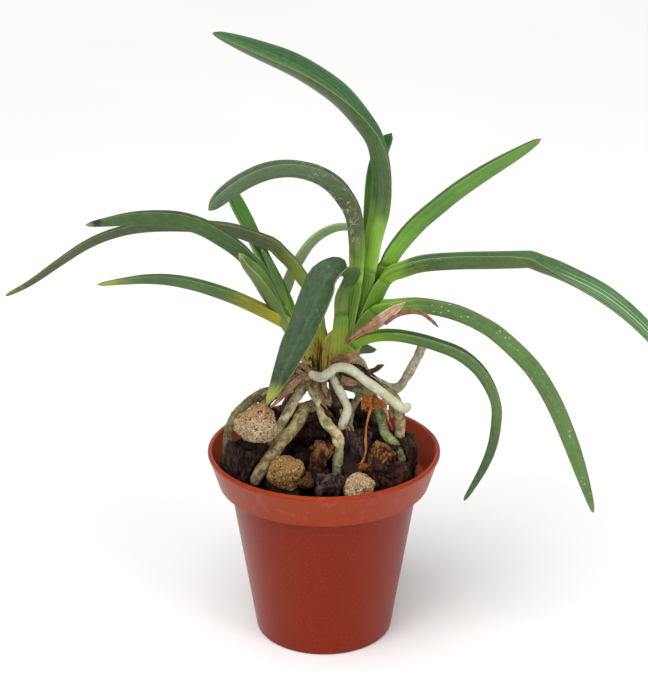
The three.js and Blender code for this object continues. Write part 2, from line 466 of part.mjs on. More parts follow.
// Dry remains: old sheaths, a withered stalk and a bare root core.
const DRY = {
  dry_sheath_right: {
    spine: [[5.2, -4.4, 75], [8, -5, 77.4], [11, -5.6, 79.3], [13.5, -6.2, 81.4], [16, -6.8, 83.8], [18.6, -7.4, 86.4]],
    face: [[-0.5, -0.6, 0.6], [-0.6, -0.7, 0.5]], arms: [1, 1.6, 2, 1.8, 1.2], open: [30, 50, 60], taper: 4, keel: 0.8, steps: 10,
  },
  dry_stalk: {
    spine: [[13.8, -7.6, 81], [16, -8, 82.9], [18.5, -8, 83.8], [21.5, -8, 83.8], [23.6, -8.2, 82.6], [26, -8.6, 80.4]],
    face: [[0, 0, 1], [0.3, 0, 1]], arms: [0.8, 0.8], open: [40, 40], taper: 9, keel: 0.8, steps: 8,
  },
  dry_sheath_low: {
    spine: [[1.6, -4.2, 69.8], [5, -5, 71.2], [8.8, -5.8, 73.2]],
    face: [[-0.3, -0.8, 0.6], [-0.4, -0.8, 0.5]], arms: [1.2, 1.5, 1], open: [40, 50], taper: 4, keel: 0.8, steps: 5,
  },
  dry_sheath_foot: {
    spine: [[1.4, -4, 65.6], [4.6, -4.8, 65.8], [8.4, -5.2, 65.2]],
    face: [[0, -0.9, 0.5], [0, -0.9, 0.5]], arms: [1, 1.4, 1], open: [45, 50], taper: 5, keel: 0.8, steps: 5,
  },
  dry_sheath_left: {
    spine: [[-3.6, -1.6, 68.6], [-6.4, -3.4, 66.8], [-8.1, -6, 64.8], [-9.8, -9, 63]],
    face: [[-0.6, -0.6, 0.6], [-0.6, -0.5, 0.6]], arms: [1.4, 1.8, 1.2], open: [50, 60, 50], taper: 3, keel: 0.8, steps: 7,
  },
  dry_strip_hanging: {
    spine: [[-0.6, -3.8, 65.6], [0, -5.2, 64.2], [0.7, -6.4, 62.6], [1.6, -7.6, 60.4]],
    face: [[0, -1, 0.2], [0.2, -1, 0]], arms: [0.8, 1.2, 1], open: [55, 60], taper: 5, keel: 0.8, steps: 6,
  },
  dry_bract: {
    spine: [[9.8, 5, 63.8], [12, 4.6, 64.6], [14.2, 4, 66.4]],
    face: [[0, -0.6, 0.8], [0, -0.6, 0.8]], arms: [0.9, 1, 0.9], open: [40, 45], taper: 6, keel: 0.8, steps: 4,
  },
};
for (const [name, each] of Object.entries(DRY)) {
  add(litter, name, FINISH.straw, each.spine[0], (extra) => blade(each, extra));
}

const BARE_CORE = { spine: [[10.6, -7.6, 63], [10.7, -8, 60.5], [9.9, -8.6, 56.7], [9.6, -9.4, 53.5], [9.6, -10.4, 50.4], [8.4, -11.8, 47.6]], radius: 0.45, tip: 0.8 };
const CORE_TUFTS = [
  { at: [9.9, -8, 62], radii: [1.5, 1.1, 2], seed: 3, rough: 0.25, detail: 1 },
  { at: [12.8, -7.8, 61.6], radii: [2.2, 1.1, 1.5], seed: 5, rough: 0.25, detail: 1 },
  { at: [9, -12, 47.4], radii: [1.6, 1.2, 0.8], seed: 8, rough: 0.25, detail: 1 },
];
add(litter, "bare_root_core", FINISH.deadRoot, BARE_CORE.spine[0], (extra) =>
  CORE_TUFTS.reduce((body, tuft) => body.add(lump(tuft, extra)), root(BARE_CORE, extra)));

// Pumice and the larger pieces of bark, each its own piece, then the heap that they lie in.
const STONES = {
  pumice_large: { at: [-15.3, -14.2, 58.8], radii: [4.9, 4.1, 4.9], seed: 1.2 },
  pumice_front: { at: [-8.8, -18.2, 48.8], radii: [4, 3.4, 3.8], seed: 2.6 },
  pumice_chip: { at: [-4.4, -19.4, 47.6], radii: [2.2, 2.2, 2.1], seed: 4.1, detail: 1 },
  pumice_right: { at: [8, -20.3, 46.2], radii: [3.2, 2.9, 3], seed: 5.3 },
  pumice_back: { at: [-3, 19, 46.5], radii: [4, 3.6, 3.2], seed: 6.4, detail: 1 },
};
for (const [name, each] of Object.entries(STONES)) {
  add(potting, name, FINISH.pumice, each.at, (extra) => lump(each, extra));
}
const BARK = {
  bark_left: { at: [-18.6, -12.8, 48.6], size: [6, 6, 10.5], turn: [0.1, 0.15, 0.5], seed: 31 },
  bark_behind: { at: [-4.4, -4, 51.6], size: [8, 5, 6.5], turn: [0.5, 0.3, 0.2], seed: 32 },
  bark_split: { at: [-1, -13, 50], size: [4, 3, 7.5], turn: [0.1, 0.3, 0.3], seed: 33 },
  bark_front: { at: [2, -19, 44.8], size: [7.5, 5, 6.5], turn: [0.3, 0.1, 0.1], seed: 34 },
  bark_middle: { at: [7.6, -8, 50.4], size: [5.6, 5, 8.6], turn: [-0.1, 0.1, 0.3], seed: 35 },
  bark_orange: { at: [13.4, -9.6, 49], size: [6, 4.5, 5.5], turn: [0.2, 0.4, 0.6], seed: 36 },
  bark_right: { at: [15.4, -14, 44.6], size: [8.5, 6.5, 9.5], turn: [0.15, -0.15, -0.3], seed: 37 },
  bark_far_right: { at: [18, -6, 47], size: [6.4, 7, 11], turn: [0.1, 0.1, 0.1], seed: 38 },
  bark_back: { at: [6.5, 15, 48.5], size: [9, 6, 6], turn: [0.3, 0.1, 0.4], seed: 39 },
  bark_back_left: { at: [-14, 13, 47.5], size: [8, 6, 8], turn: [0.2, 0.3, -0.6], seed: 40 },
};
for (const [name, each] of Object.entries(BARK)) {
  add(potting, name, FINISH.bark, each.at, (extra) => chunk(each, extra));
}
add(potting, "potting_bark", FINISH.heap, [0, 0, POT.floor], heapSolid);

const pot = new THREE.Mesh(geometryOf(potSolid()), FINISH.pot);
pot.name = "pot";
holder.add(pot);

export default orchid;
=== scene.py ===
import math
import random

import bmesh
import bpy
from mathutils import Euler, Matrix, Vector, noise


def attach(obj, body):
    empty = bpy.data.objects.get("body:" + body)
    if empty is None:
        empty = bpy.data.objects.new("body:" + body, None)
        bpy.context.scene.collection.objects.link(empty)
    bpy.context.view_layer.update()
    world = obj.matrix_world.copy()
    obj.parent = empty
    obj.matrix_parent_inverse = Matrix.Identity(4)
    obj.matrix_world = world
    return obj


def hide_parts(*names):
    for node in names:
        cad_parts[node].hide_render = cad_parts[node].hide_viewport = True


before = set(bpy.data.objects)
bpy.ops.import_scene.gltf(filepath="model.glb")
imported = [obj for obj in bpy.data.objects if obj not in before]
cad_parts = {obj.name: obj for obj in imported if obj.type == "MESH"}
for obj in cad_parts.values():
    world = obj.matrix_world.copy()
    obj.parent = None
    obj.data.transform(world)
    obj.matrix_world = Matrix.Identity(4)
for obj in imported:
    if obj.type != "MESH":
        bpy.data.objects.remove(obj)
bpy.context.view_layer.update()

# A young wind orchid in a small plastic pot: two fans of keeled, channelled leaves on a heap of bark and pumice.
# Sizes in the tables are millimetres, as in the part's source; every mesh is in metres, in the same frame.
MM = 0.001
POT = {
    "height": 47, "rimRadius": 27.5, "lip": 1.2, "bandHeight": 8.4, "bandFootRadius": 25.1,
    "shoulderRadius": 22.4, "baseRadius": 16.5, "wall": 0.9, "floor": 1.4, "facets": 144,
}
DRAIN = {"holes": 5, "radius": 2, "ring": 10, "facets": 28}
HEAP = {"top": 51, "fall": 0.0095, "frontTilt": 0.1, "rightEdge": 12, "rightTilt": 0.6}
BLADE = {"keel": 1.3, "edge": 0.5, "sides": 36}
HEAP_FINENESS, BARK_FINENESS, PUMICE_FINENESS = 0.55, 0.23, 0.19
CRUMBS, CRUMBS_REACH = 300, 22.6
FIBRES_PER_STEM, THREADS_PER_TUFT = 34, 110
BARE_CORE_RADIUS = 0.27
SUNK_FOOT = 4
SEED = 20
noise.seed_set(SEED)

# The studio, in metres, degrees and watts. The camera stands where the photograph was taken from.
FLOOR_REACH = 6
EYE = {"place": (0, -0.382073, 0.222912), "tilt": 68.4, "lens": 91.178, "sensor": 36}
SUN = {"tilt": (24, -14, 0), "strength": 1.9, "spread": 50}
ROOM_BRIGHTNESS = 0.5
SOFTBOXES = {
    "front_right": {"place": (0.5, -0.45, 0.3), "target": (0, 0, 0.05), "size": 0.3, "power": 1.6},
    "front_left": {"place": (-0.45, -0.5, 0.5), "target": (0, 0, 0.06), "size": 0.4, "power": 1.2},
}


def mix(a, b, share):
    return a + (b - a) * share


def clamp(value, low=0.0, high=1.0):
    return min(high, max(low, value))


def pick(values, share):
    """The value at a share of the way along an evenly spaced list."""
    place = clamp(share) * (len(values) - 1)
    before = min(int(place), len(values) - 2)
    return mix(values[before], values[before + 1], place - before)


def rounded_end(far, reach):
    """How full a domed end is, at a distance from the end."""
    return math.sqrt(max(0.0, 1 - (1 - clamp(far / reach)) ** 2))


def grain(x, y, z):
    """Smooth noise from -1 to 1."""
    return noise.noise(Vector((x, y, z)))


class Line:
    """A smooth line through points, in millimetres, with the ways its upper side faces spread evenly along it."""

    FINENESS = 24

    def __init__(self, points, faces):
        knots = [Vector(p) for p in points]
        knots = [2 * knots[0] - knots[1], *knots, 2 * knots[-1] - knots[-2]]
        self.places = []
        for a, b, c, d in zip(knots, knots[1:], knots[2:], knots[3:]):
            for step in range(self.FINENESS):
                t = step / self.FINENESS
                bend = (2 * a - 5 * b + 4 * c - d) * t * t + (3 * b - a - 3 * c + d) * t**3
                self.places.append(0.5 * (2 * b + (c - a) * t + bend))
        self.places.append(knots[-2])
        self.reached = [0.0]
        for a, b in zip(self.places, self.places[1:]):
            self.reached.append(self.reached[-1] + (b - a).length)
        self.length = self.reached[-1]
        self.faces = [Vector(f) for f in faces]

    def point(self, share):
        if share < 0:
            return self.places[0] + (self.places[0] - self.places[1]).normalized() * -share * self.length
        far = clamp(share) * self.length
        low, high = 0, len(self.reached) - 1
        while high - low > 1:
            middle = (low + high) // 2
            low, high = (middle, high) if self.reached[middle] <= far else (low, middle)
        span = self.reached[high] - self.reached[low]
        return self.places[low].lerp(self.places[high], (far - self.reached[low]) / span)

    def station(self, share):
        """The middle of the section there, with its sideways and upward directions."""
        tangent = (self.point(share + 0.012) - self.point(share - 0.012)).normalized()
        up = Vector([pick([face[axis] for face in self.faces], share) for axis in range(3)])
        up = (up - tangent * up.dot(tangent)).normalized()
        return self.point(share), up.cross(tangent), up


def roll(bm, around, along, place):
    """A grid rolled into a closed skin. place(turn, far) puts each corner, and the grid's UV stays as its map."""
    made = bmesh.ops.create_grid(bm, x_segments=around, y_segments=along, size=0.5, calc_uvs=True)["verts"]
    for corner in made:
        corner.co = place(corner.co.x + 0.5, corner.co.y + 0.5) * MM
    bmesh.ops.remove_doubles(bm, verts=made, dist=2e-7)


def skin():
    """An empty mesh with a UV map."""
    bm = bmesh.new()
    bm.loops.layers.uv.new("UVMap")
    return bm


def from_midrib(turn):
    """Nearness to the margin, 0 at the midrib to 1, and the side, for a share of the way round a folded blade."""
    return 1 - abs(1 - 4 * turn % 2), (1 if turn < 0.5 else -1), 0.25 < turn < 0.75


def folded(turn, keel, valley, outer_rim, inner_rim, edge, belly, reach):
    """A corner of a V section: outside from keel to rim, inside from rim to valley, with a round rim."""
    across, side, inside = from_midrib(turn)
    far = 1 - (1 - across) ** 1.6
    soft = (math.sqrt(far * far + 0.012) - math.sqrt(0.012)) / (math.sqrt(1.012) - math.sqrt(0.012))
    outer = Vector((outer_rim[0] * far, mix(keel, outer_rim[1], soft)))
    inner = Vector((inner_rim[0] * far, mix(valley, inner_rim[1], soft)))
    rim_start = clamp(1 - 0.6 * edge / max(reach, 0.05), 0.3, 0.97)
    past = clamp((far - rim_start) / (1 - rim_start))
    half = (outer - inner) * 0.5 * math.sqrt(1 - past * past)
    corner = (outer + inner) * 0.5 + (-half if inside else half)
    slope = (outer_rim - inner_rim).normalized()
    corner += slope * belly * math.sin(math.pi * far)
    return corner.x * side, corner.y


class Fold:
    """A leaf, and the sheath that carries it, as one folded ribbon: two arms of a V that open from the keel."""

    def __init__(self, leaf, sheath=None):
        self.leaf, self.joint = leaf, 0.0
        self.own = leaf["spine"][0][0] + leaf["spine"][0][2]
        self.line = Line((sheath["spine"] if sheath else []) + leaf["spine"], leaf["face"])
        if sheath:
            self.joint = self.line.reached[2 * Line.FINENESS] / self.line.length
            self.base_arm = 1.15 * sheath["half"]
            self.base_open = math.degrees(math.asin(0.8 * sheath["plump"] / self.base_arm))
            below, above = Vector(sheath["face"]), Vector(leaf["face"][0])
            faces = []
            for step in range(61):
                on = (step / 60 - self.joint) / (1 - self.joint)
                own_face = Vector([pick([f[axis] for f in leaf["face"]], on) for axis in range(3)])
                faces.append(below.lerp(above, step / 60 / self.joint) if on < 0 else own_face)
            self.line.faces = faces

    def corner(self, turn, share, full, sunk=0.0, wave=0.1, ragged=0.0):
        """A corner of the skin: turn goes round the V, and share from the foot of sheath or leaf to the tip."""
        leaf, line = self.leaf, self.line
        share = mix(-sunk / line.length, 1, share)
        middle, sideways, up = line.station(share)
        along, to_tip = share * line.length, (1 - share) * line.length
        on = (share - self.joint) / (1 - self.joint)
        width, opening = pick(leaf["arms"], on), pick(leaf["open"], on)
        keel, edge = leaf.get("keel", BLADE["keel"]), leaf.get("edge", BLADE["edge"])
        if self.joint and on < 0:
            down = 1 - share / self.joint
            width = mix(width, self.base_arm, down**0.8) * (1 + 0.1 * math.sin(math.pi * down))
            opening, keel = mix(opening, self.base_open, down), keel * (1 + 0.3 * down)
        width *= max(0, 1 - max(0, on) ** leaf["taper"]) ** 0.7
        if not self.joint and along < 0:
            width *= mix(1, 0.4, -along / sunk)
        keel *= mix(0.5, 1, min(1, width / leaf["arms"][0]))
        across, side, _ = from_midrib(turn)
        width = max(width, 0.02) * (1 + 0.03 * grain(along * 0.12, side * 3, self.own))
        width *= 1 + ragged * grain(along * 1.3, side * 5, self.own)
        angle, edge = math.radians(opening), edge * min(1, width)
        lift = 0.5 * (keel - width * math.cos(angle))
        inner_rim = Vector((width * math.sin(angle), width * math.cos(angle) + lift))
        outer_rim = inner_rim + edge * Vector((math.cos(angle), -math.sin(angle)))
        x, y = folded(turn, lift - keel, lift, outer_rim, inner_rim, edge, 0.06 * width, width)
        ripple = wave * math.sin(along / 5.2 + self.own + side) + 4 * ragged * grain(along * 0.5, side, self.own)
        x += side * ripple * across**2 * math.cos(angle)
        full *= rounded_end(to_tip, 1.6)
        core = lift - 0.5 * keel
        return middle + sideways * (x * full) + up * (core + (y - core) * full)

    def skin(self, bm, start=0.0, end=1.0, **looks):
        """The ribbon's skin between two shares of its length, cut flat where it ends before the tip."""
        along = max(14, round((end - start) * self.line.length / 1.1))
        cut = 1 / along
        last = cut if end < 1 else 0

        def place(turn, far):
            on = clamp((far - cut) / (1 - cut - last))
            if end == 1:
                on += 0.1 * math.sin(math.pi * on)
            from_cut = min(far, 1 - far) if end < 1 else far
            full = 0.0 if from_cut < cut / 2 else 0.955 if from_cut < 1.5 * cut else 1.0
            return self.corner(turn, mix(start, end, on), full, **looks)

        roll(bm, self.leaf.get("around", BLADE["sides"]), along, place)


def cord(bm, spine, radius, tip=0.75, head=1, sides=22, step=0.45, knots=0.07, wrinkles=0.09, oval=0.0):
    """A root: a round, slightly knotty cord with domed ends."""
    line = Line(spine, [[0.3, -0.9, 0.3], [0.3, -0.9, 0.3]])
    own = radius * 40

    def place(turn, far):
        middle, sideways, up = line.station(far)
        along = far * line.length
        around = turn * 2 * math.pi
        reach = radius * (1 + knots * math.sin(along * 0.9 + own))
        x, y = math.sin(around), math.cos(around)
        reach *= 1 + wrinkles * grain(x * 1.4, y * 1.4 + own, along * 0.35)
        reach *= 1 + 0.5 * wrinkles * grain(x * 3 + own, y * 3, along * 1.2)
        reach *= mix(1, head, clamp(1 - along / radius)) * mix(1, tip, clamp(1 - (line.length - along) / radius))
        reach *= rounded_end(along, radius) * rounded_end(line.length - along, radius * 1.2)
        return middle + sideways * (x * reach * (1 + oval)) + up * (y * reach * (1 - oval))

    roll(bm, sides, max(4, round(line.length / step)), place)


def chunk(bm, at, size, turn, chance, cuts=1):
    """A splinter of bark: a block split along its edges and pushed out of square. Gives back its corners."""
    before = len(bm.verts)
    made = bmesh.ops.create_cube(bm, size=1)["verts"]
    edges = list(dict.fromkeys(edge for corner in made for edge in corner.link_edges))
    bmesh.ops.subdivide_edges(bm, edges=edges, cuts=cuts, use_grid_fill=True)
    bm.verts.ensure_lookup_table()
    corners = bm.verts[before:]
    tilt = Euler(turn).to_matrix()
    for corner in corners:
        shift = [1 + (chance.random() - 0.6) * 0.5 for _ in range(3)]
        corner.co = (tilt @ Vector([c * s * k for c, s, k in zip(corner.co, size, shift)]) + Vector(at)) * MM
    return corners


def skin_over(node, fineness):
    """A fine, even skin over a copy of a node's solid."""
    bm = bmesh.new()
    bm.from_mesh(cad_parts[node].data)
    bmesh.ops.remove_doubles(bm, verts=bm.verts, dist=1e-7)
    copy = bpy.data.meshes.new("copy_of_" + node)
    bm.to_mesh(copy)
    bm.free()
    carrier = bpy.data.objects.new("copy_of_" + node, copy)
    bpy.context.scene.collection.objects.link(carrier)
    remesh = carrier.modifiers.new("even", "REMESH")
    remesh.mode, remesh.voxel_size = "VOXEL", fineness * MM
    evened = carrier.evaluated_get(bpy.context.evaluated_depsgraph_get()).to_mesh()
    bm = bmesh.new()
    bm.from_mesh(evened)
    bpy.data.objects.remove(carrier)
    bpy.data.meshes.remove(copy)
    bm.normal_update()
    return bm


def push_out(bm, depth):
    """Moves each corner along its normal by depth(corner in millimetres, normal), itself in millimetres."""
    shifts = [(c, c.normal * depth(c.co / MM, c.normal) * MM) for c in bm.verts]
    for corner, shift in shifts:
        corner.co += shift


def piece(name, bm, finish, slot, *nodes, smooth=True):
    """The finished mesh as a piece of the orchid, which stands for the CAD nodes that it replaces."""
    bmesh.ops.recalc_face_normals(bm, faces=bm.faces)
    mesh = bpy.data.meshes.new(name)
    bm.to_mesh(mesh)
    bm.free()
    mesh.materials.append(finish)
    mesh.polygons.foreach_set("use_smooth", [smooth] * len(mesh.polygons))
    shape = bpy.data.objects.new(name, mesh)
    bpy.context.scene.collection.objects.link(shape)
    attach(shape, "root")
    if nodes:
        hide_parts(*nodes)
    return shape


def shade(code):
    """A colour from its web code, as light."""
    parts = [int(code[i : i + 2], 16) / 255 for i in (1, 3, 5)]
    return [p / 12.92 if p <= 0.04045 else ((p + 0.055) / 1.055) ** 2.4 for p in parts] + [1.0]


class Finish:
    """A procedural material. Each method adds one step and gives back what comes out of it."""

    def __init__(self, name, **sockets):
        self.material = bpy.data.materials.new(name)
        self.material.use_nodes = True
        self.tree = self.material.node_tree
        self.shader = self.tree.nodes["Principled BSDF"]
        for socket, value in sockets.items():
            self.shader.inputs[socket.replace("_", " ")].default_value = value
        coordinates = self.step("TexCoord")
        self.place, self.map = coordinates.outputs["Object"], coordinates.outputs["UV"]

    def feed(self, socket, value):
        if isinstance(value, bpy.types.NodeSocket):
            self.tree.links.new(value, socket)
        else:
            socket.default_value = value

    def step(self, kind, inputs=None, **settings):
        node = self.tree.nodes.new("ShaderNode" + kind)
        for setting, value in settings.items():
            setattr(node, setting, value)
        for socket, value in (inputs or {}).items():
            self.feed(node.inputs[socket], value)
        return node

    def sum(self, operation, *values):
        node = self.step("Math", operation=operation)
        for socket, value in zip(node.inputs, values):
            self.feed(socket, value)
        return node.outputs[0]

    def spread(self, value, low, high, to_low=0.0, to_high=1.0):
        inputs = {"Value": value, "From Min": low, "From Max": high, "To Min": to_low, "To Max": to_high}
        return self.step("MapRange", inputs, interpolation_type="SMOOTHSTEP").outputs[0]

    def blend(self, factor, first, second, way="MIX"):
        node = self.step("Mix", data_type="RGBA", blend_type=way)
        for index, value in zip((0, 6, 7), (factor, first, second)):
            self.feed(node.inputs[index], shade(value) if isinstance(value, str) else value)
        return node.outputs[2]

    def scaled(self, stretch, source=None, shift=(0, 0, 0)):
        inputs = {"Vector": source or self.place, "Scale": stretch, "Location": shift}
        return self.step("Mapping", inputs).outputs[0]

    def cloud(self, size, detail=3.0, stretch=(1, 1, 1), source=None, shift=(0, 0, 0), low=0.3, high=0.7):
        """Soft noise from 0 to 1, with spots of about that size in millimetres, or in the map's own units."""
        unit = 1 if source else MM
        scaled = self.scaled([s / (size * unit) for s in stretch], source, shift)
        fac = self.step("TexNoise", {"Vector": scaled, "Scale": 1.0, "Detail": detail}).outputs["Fac"]
        return self.spread(fac, low, high)

    def cells(self, size, feature="F1", source=None, stretch=(1, 1, 1), bend=0.0):
        """Distance to the middle, or the edge, of scattered cells of that size, whose walls wander with the bend."""
        unit = 1 if source else MM
        scaled = self.scaled([s / (size * unit) for s in stretch], source)
        if bend:
            noisy = self.step("TexNoise", {"Vector": scaled, "Scale": 1.6, "Detail": 4.0}).outputs["Color"]
            moved = self.step("VectorMath", {0: noisy, 1: (0.5, 0.5, 0.5)}, operation="SUBTRACT").outputs[0]
            moved = self.step("VectorMath", {0: moved, "Scale": bend}, operation="SCALE").outputs[0]
            scaled = self.step("VectorMath", {0: scaled, 1: moved}, operation="ADD").outputs[0]
        inputs = {"Vector": scaled, "Scale": 1.0}
        return self.step("TexVoronoi", inputs, feature=feature).outputs["Distance"]

    def bump(self, height, depth):
        """Relief of that depth, in millimetres."""
        inputs = {"Height": height, "Distance": depth * MM, "Strength": 1.0}
        return self.step("Bump", inputs).outputs[0]

    def done(self, colour, roughness, normal):
        self.feed(self.shader.inputs["Base Color"], colour)
        self.feed(self.shader.inputs["Roughness"], roughness)
        self.feed(self.shader.inputs["Normal"], normal)
        return self.material


def leaf_finish(name, outer, inner, foot, tip="#8f9c4a", foot_end=0.2, tip_start=0.985, scars=None, specks=0.0,
                brown=0.0, gloss=0.4, under=None, spot=None, far=None, lines=None, rim="#93a35c", crease=0.08):
    """A leaf's skin, by its own map: round the fold, and from foot to tip."""
    f = Finish(name + "_skin", Specular_IOR_Level=0.35, Coat_Weight=0.06, Coat_Roughness=0.3)
    parts = f.step("SeparateXYZ", {"Vector": f.map})
    turn, share = parts.outputs["X"], parts.outputs["Y"]
    rib = f.sum("ABSOLUTE", f.sum("SUBTRACT", 1.0, f.sum("MODULO", f.sum("MULTIPLY", turn, 4.0), 2.0)))
    inside = f.spread(f.sum("ABSOLUTE", f.sum("SUBTRACT", turn, 0.5)), 0.252, 0.248)
    patches = f.cloud(9, 4)
    fine = f.cloud(1.1, 3)
    streaks = f.cloud(0.045, 3, source=f.map, stretch=(1, 0.06, 1))
    wander = f.sum("ADD", share, f.sum("MULTIPLY", f.sum("SUBTRACT", patches, 0.5), 0.1))

    colour = f.blend(inside, outer, inner)
    if far:
        colour = f.blend(f.spread(wander, far[0], far[1]), colour, far[2])
    colour = f.blend(f.sum("MULTIPLY", patches, 0.3), colour, f.blend(1.0, colour, "#8c9c80", "MULTIPLY"))
    colour = f.blend(f.sum("MULTIPLY", streaks, 0.22), colour, f.blend(1.0, colour, "#86957a", "MULTIPLY"))
    colour = f.blend(f.sum("MULTIPLY", fine, 0.08), colour, "#a3ad80")
    rows = f.sum("SINE", f.sum("MULTIPLY", f.sum("ADD", rib, f.sum("MULTIPLY", fine, 0.03)), 44.0))
    veins = f.spread(rows, -0.2, 1.0)
    colour = f.blend(f.sum("MULTIPLY", veins, 0.14), colour, f.blend(1.0, colour, "#7f9474", "MULTIPLY"))
    foot_share = f.spread(f.sum("ADD", wander, f.sum("MULTIPLY", streaks, 0.04)), foot_end, foot_end * 0.15)
    colour = f.blend(foot_share, colour, foot)
    if under:
        low = f.sum("MULTIPLY", f.spread(rib, 0.55, 0.9), f.spread(share, foot_end, foot_end + 0.2))
        colour = f.blend(f.sum("MULTIPLY", low, 0.5), colour, under)
    if lines:
        shine = f.spread(f.sum("SINE", f.sum("MULTIPLY", rib, 30.0)), 0.55, 0.95)
        shine = f.sum("MULTIPLY", shine, f.spread(share, *lines))
        shine = f.sum("MULTIPLY", f.sum("MULTIPLY", shine, inside), f.spread(rib, 0.35, 0.8))
        colour = f.blend(f.sum("MULTIPLY", shine, f.spread(streaks, 0, 1, 0.5, 0.9)), colour, "#b9ccae")
    colour = f.blend(f.sum("MULTIPLY", f.spread(rib, 0.93, 0.985), crease), colour, "#a3b77a")
    margin = f.spread(rib, 0.08, 0.02)
    colour = f.blend(f.sum("MULTIPLY", margin, 0.5), colour, rim)
    if brown:
        rusty = f.sum("MULTIPLY", f.cloud(5, 5, low=0.45, high=0.75), brown)
        colour = f.blend(rusty, colour, "#5d4c30")
    if specks:
        dots = f.spread(f.cells(1.1, bend=0.9), 0.27, 0.1)
        some = f.cloud(5, 4, low=0.46, high=0.64, shift=(3, 1, 2))
        colour = f.blend(f.sum("MULTIPLY", f.sum("MULTIPLY", dots, some), specks), colour, "#bcc8a6")
    rough = f.sum("ADD", f.sum("MULTIPLY", fine, 0.12), gloss)
    height = f.sum("ADD", f.sum("MULTIPLY", veins, 0.5), f.sum("ADD", f.sum("MULTIPLY", fine, 0.5), streaks))
    if scars:
        band = f.spread(share, scars[0], scars[0] + 0.06)
        band = f.sum("MULTIPLY", band, f.spread(share, scars[1], scars[1] - 0.1))
        cracks = f.spread(f.cells(1.5, "DISTANCE_TO_EDGE", stretch=(1, 1, 0.7), bend=1.3), 0.045, 0.008)
        torn = f.sum("MULTIPLY", f.sum("MULTIPLY", cracks, band), f.cloud(2.2, 5, low=0.5, high=0.62))
        colour = f.blend(f.sum("MULTIPLY", torn, 0.7), colour, "#c3c7b0")
        height = f.sum("ADD", height, f.sum("MULTIPLY", torn, 1.4))
    tip_full = max(tip_start + 0.03, mix(tip_start, 1, 0.8))
    tip_share = f.spread(f.sum("ADD", wander, f.sum("MULTIPLY", streaks, 0.03)), tip_start - 0.03, tip_full)
    colour = f.blend(tip_share, colour, tip)
    if spot:
        away = f.sum("ABSOLUTE", f.sum("SUBTRACT", wander, spot[0]))
        dark = f.sum("MULTIPLY", f.spread(away, spot[1], spot[1] * 0.4), f.spread(rib, spot[2], spot[2] - 0.3))
        colour = f.blend(f.sum("MULTIPLY", dark, f.spread(fine, 0.1, 0.6, 0.75, 1.0)), colour, "#241a14")
    return f.done(colour, rough, f.bump(height, 0.05))


def sheath_finish(name):
    """Sheaths: yellow-green at the foot, greener upwards, with pale papery margins and brown stains low down."""
    f = Finish(name, Specular_IOR_Level=0.35, Coat_Weight=0.08, Coat_Roughness=0.35)
    parts = f.step("SeparateXYZ", {"Vector": f.map})
    height = f.step("SeparateXYZ", {"Vector": f.place}).outputs["Z"]
    turn, share = parts.outputs["X"], parts.outputs["Y"]
    rib = f.sum("ABSOLUTE", f.sum("SUBTRACT", 1.0, f.sum("MODULO", f.sum("MULTIPLY", turn, 4.0), 2.0)))
    patches = f.cloud(4, 4)
    fibres = f.cloud(0.5, 3, stretch=(1, 1, 0.12))
    rise = f.sum("ADD", height, f.sum("MULTIPLY", f.sum("SUBTRACT", patches, 0.5), 0.006))
    colour = f.blend(f.spread(rise, 0.0665, 0.081), "#b89c36", "#5a8520")
    colour = f.blend(f.sum("MULTIPLY", fibres, 0.3), colour, "#7a942a")
    streaks = f.spread(f.sum("SINE", f.sum("MULTIPLY", rib, 38.0)), 0.2, 1.0)
    colour = f.blend(f.sum("MULTIPLY", streaks, 0.16), colour, "#46691d")
    margin = f.spread(rib, 0.13, 0.03)
    colour = f.blend(f.sum("MULTIPLY", margin, 0.75), colour, "#b9bf6a")
    low = f.spread(rise, 0.0735, 0.067)
    stain = f.sum("MULTIPLY", low, f.cloud(1.5, 4, stretch=(1, 1, 0.3), low=0.5, high=0.62))
    colour = f.blend(stain, colour, "#3a2a1b")
    mouth = f.spread(share, 0.955, 0.985)
    colour = f.blend(f.sum("MULTIPLY", mouth, 0.3), colour, "#7d8c34")
    rough = f.sum("ADD", f.sum("MULTIPLY", fibres, 0.12), 0.38)
    return f.done(colour, rough, f.bump(f.sum("ADD", fibres, streaks), 0.06))


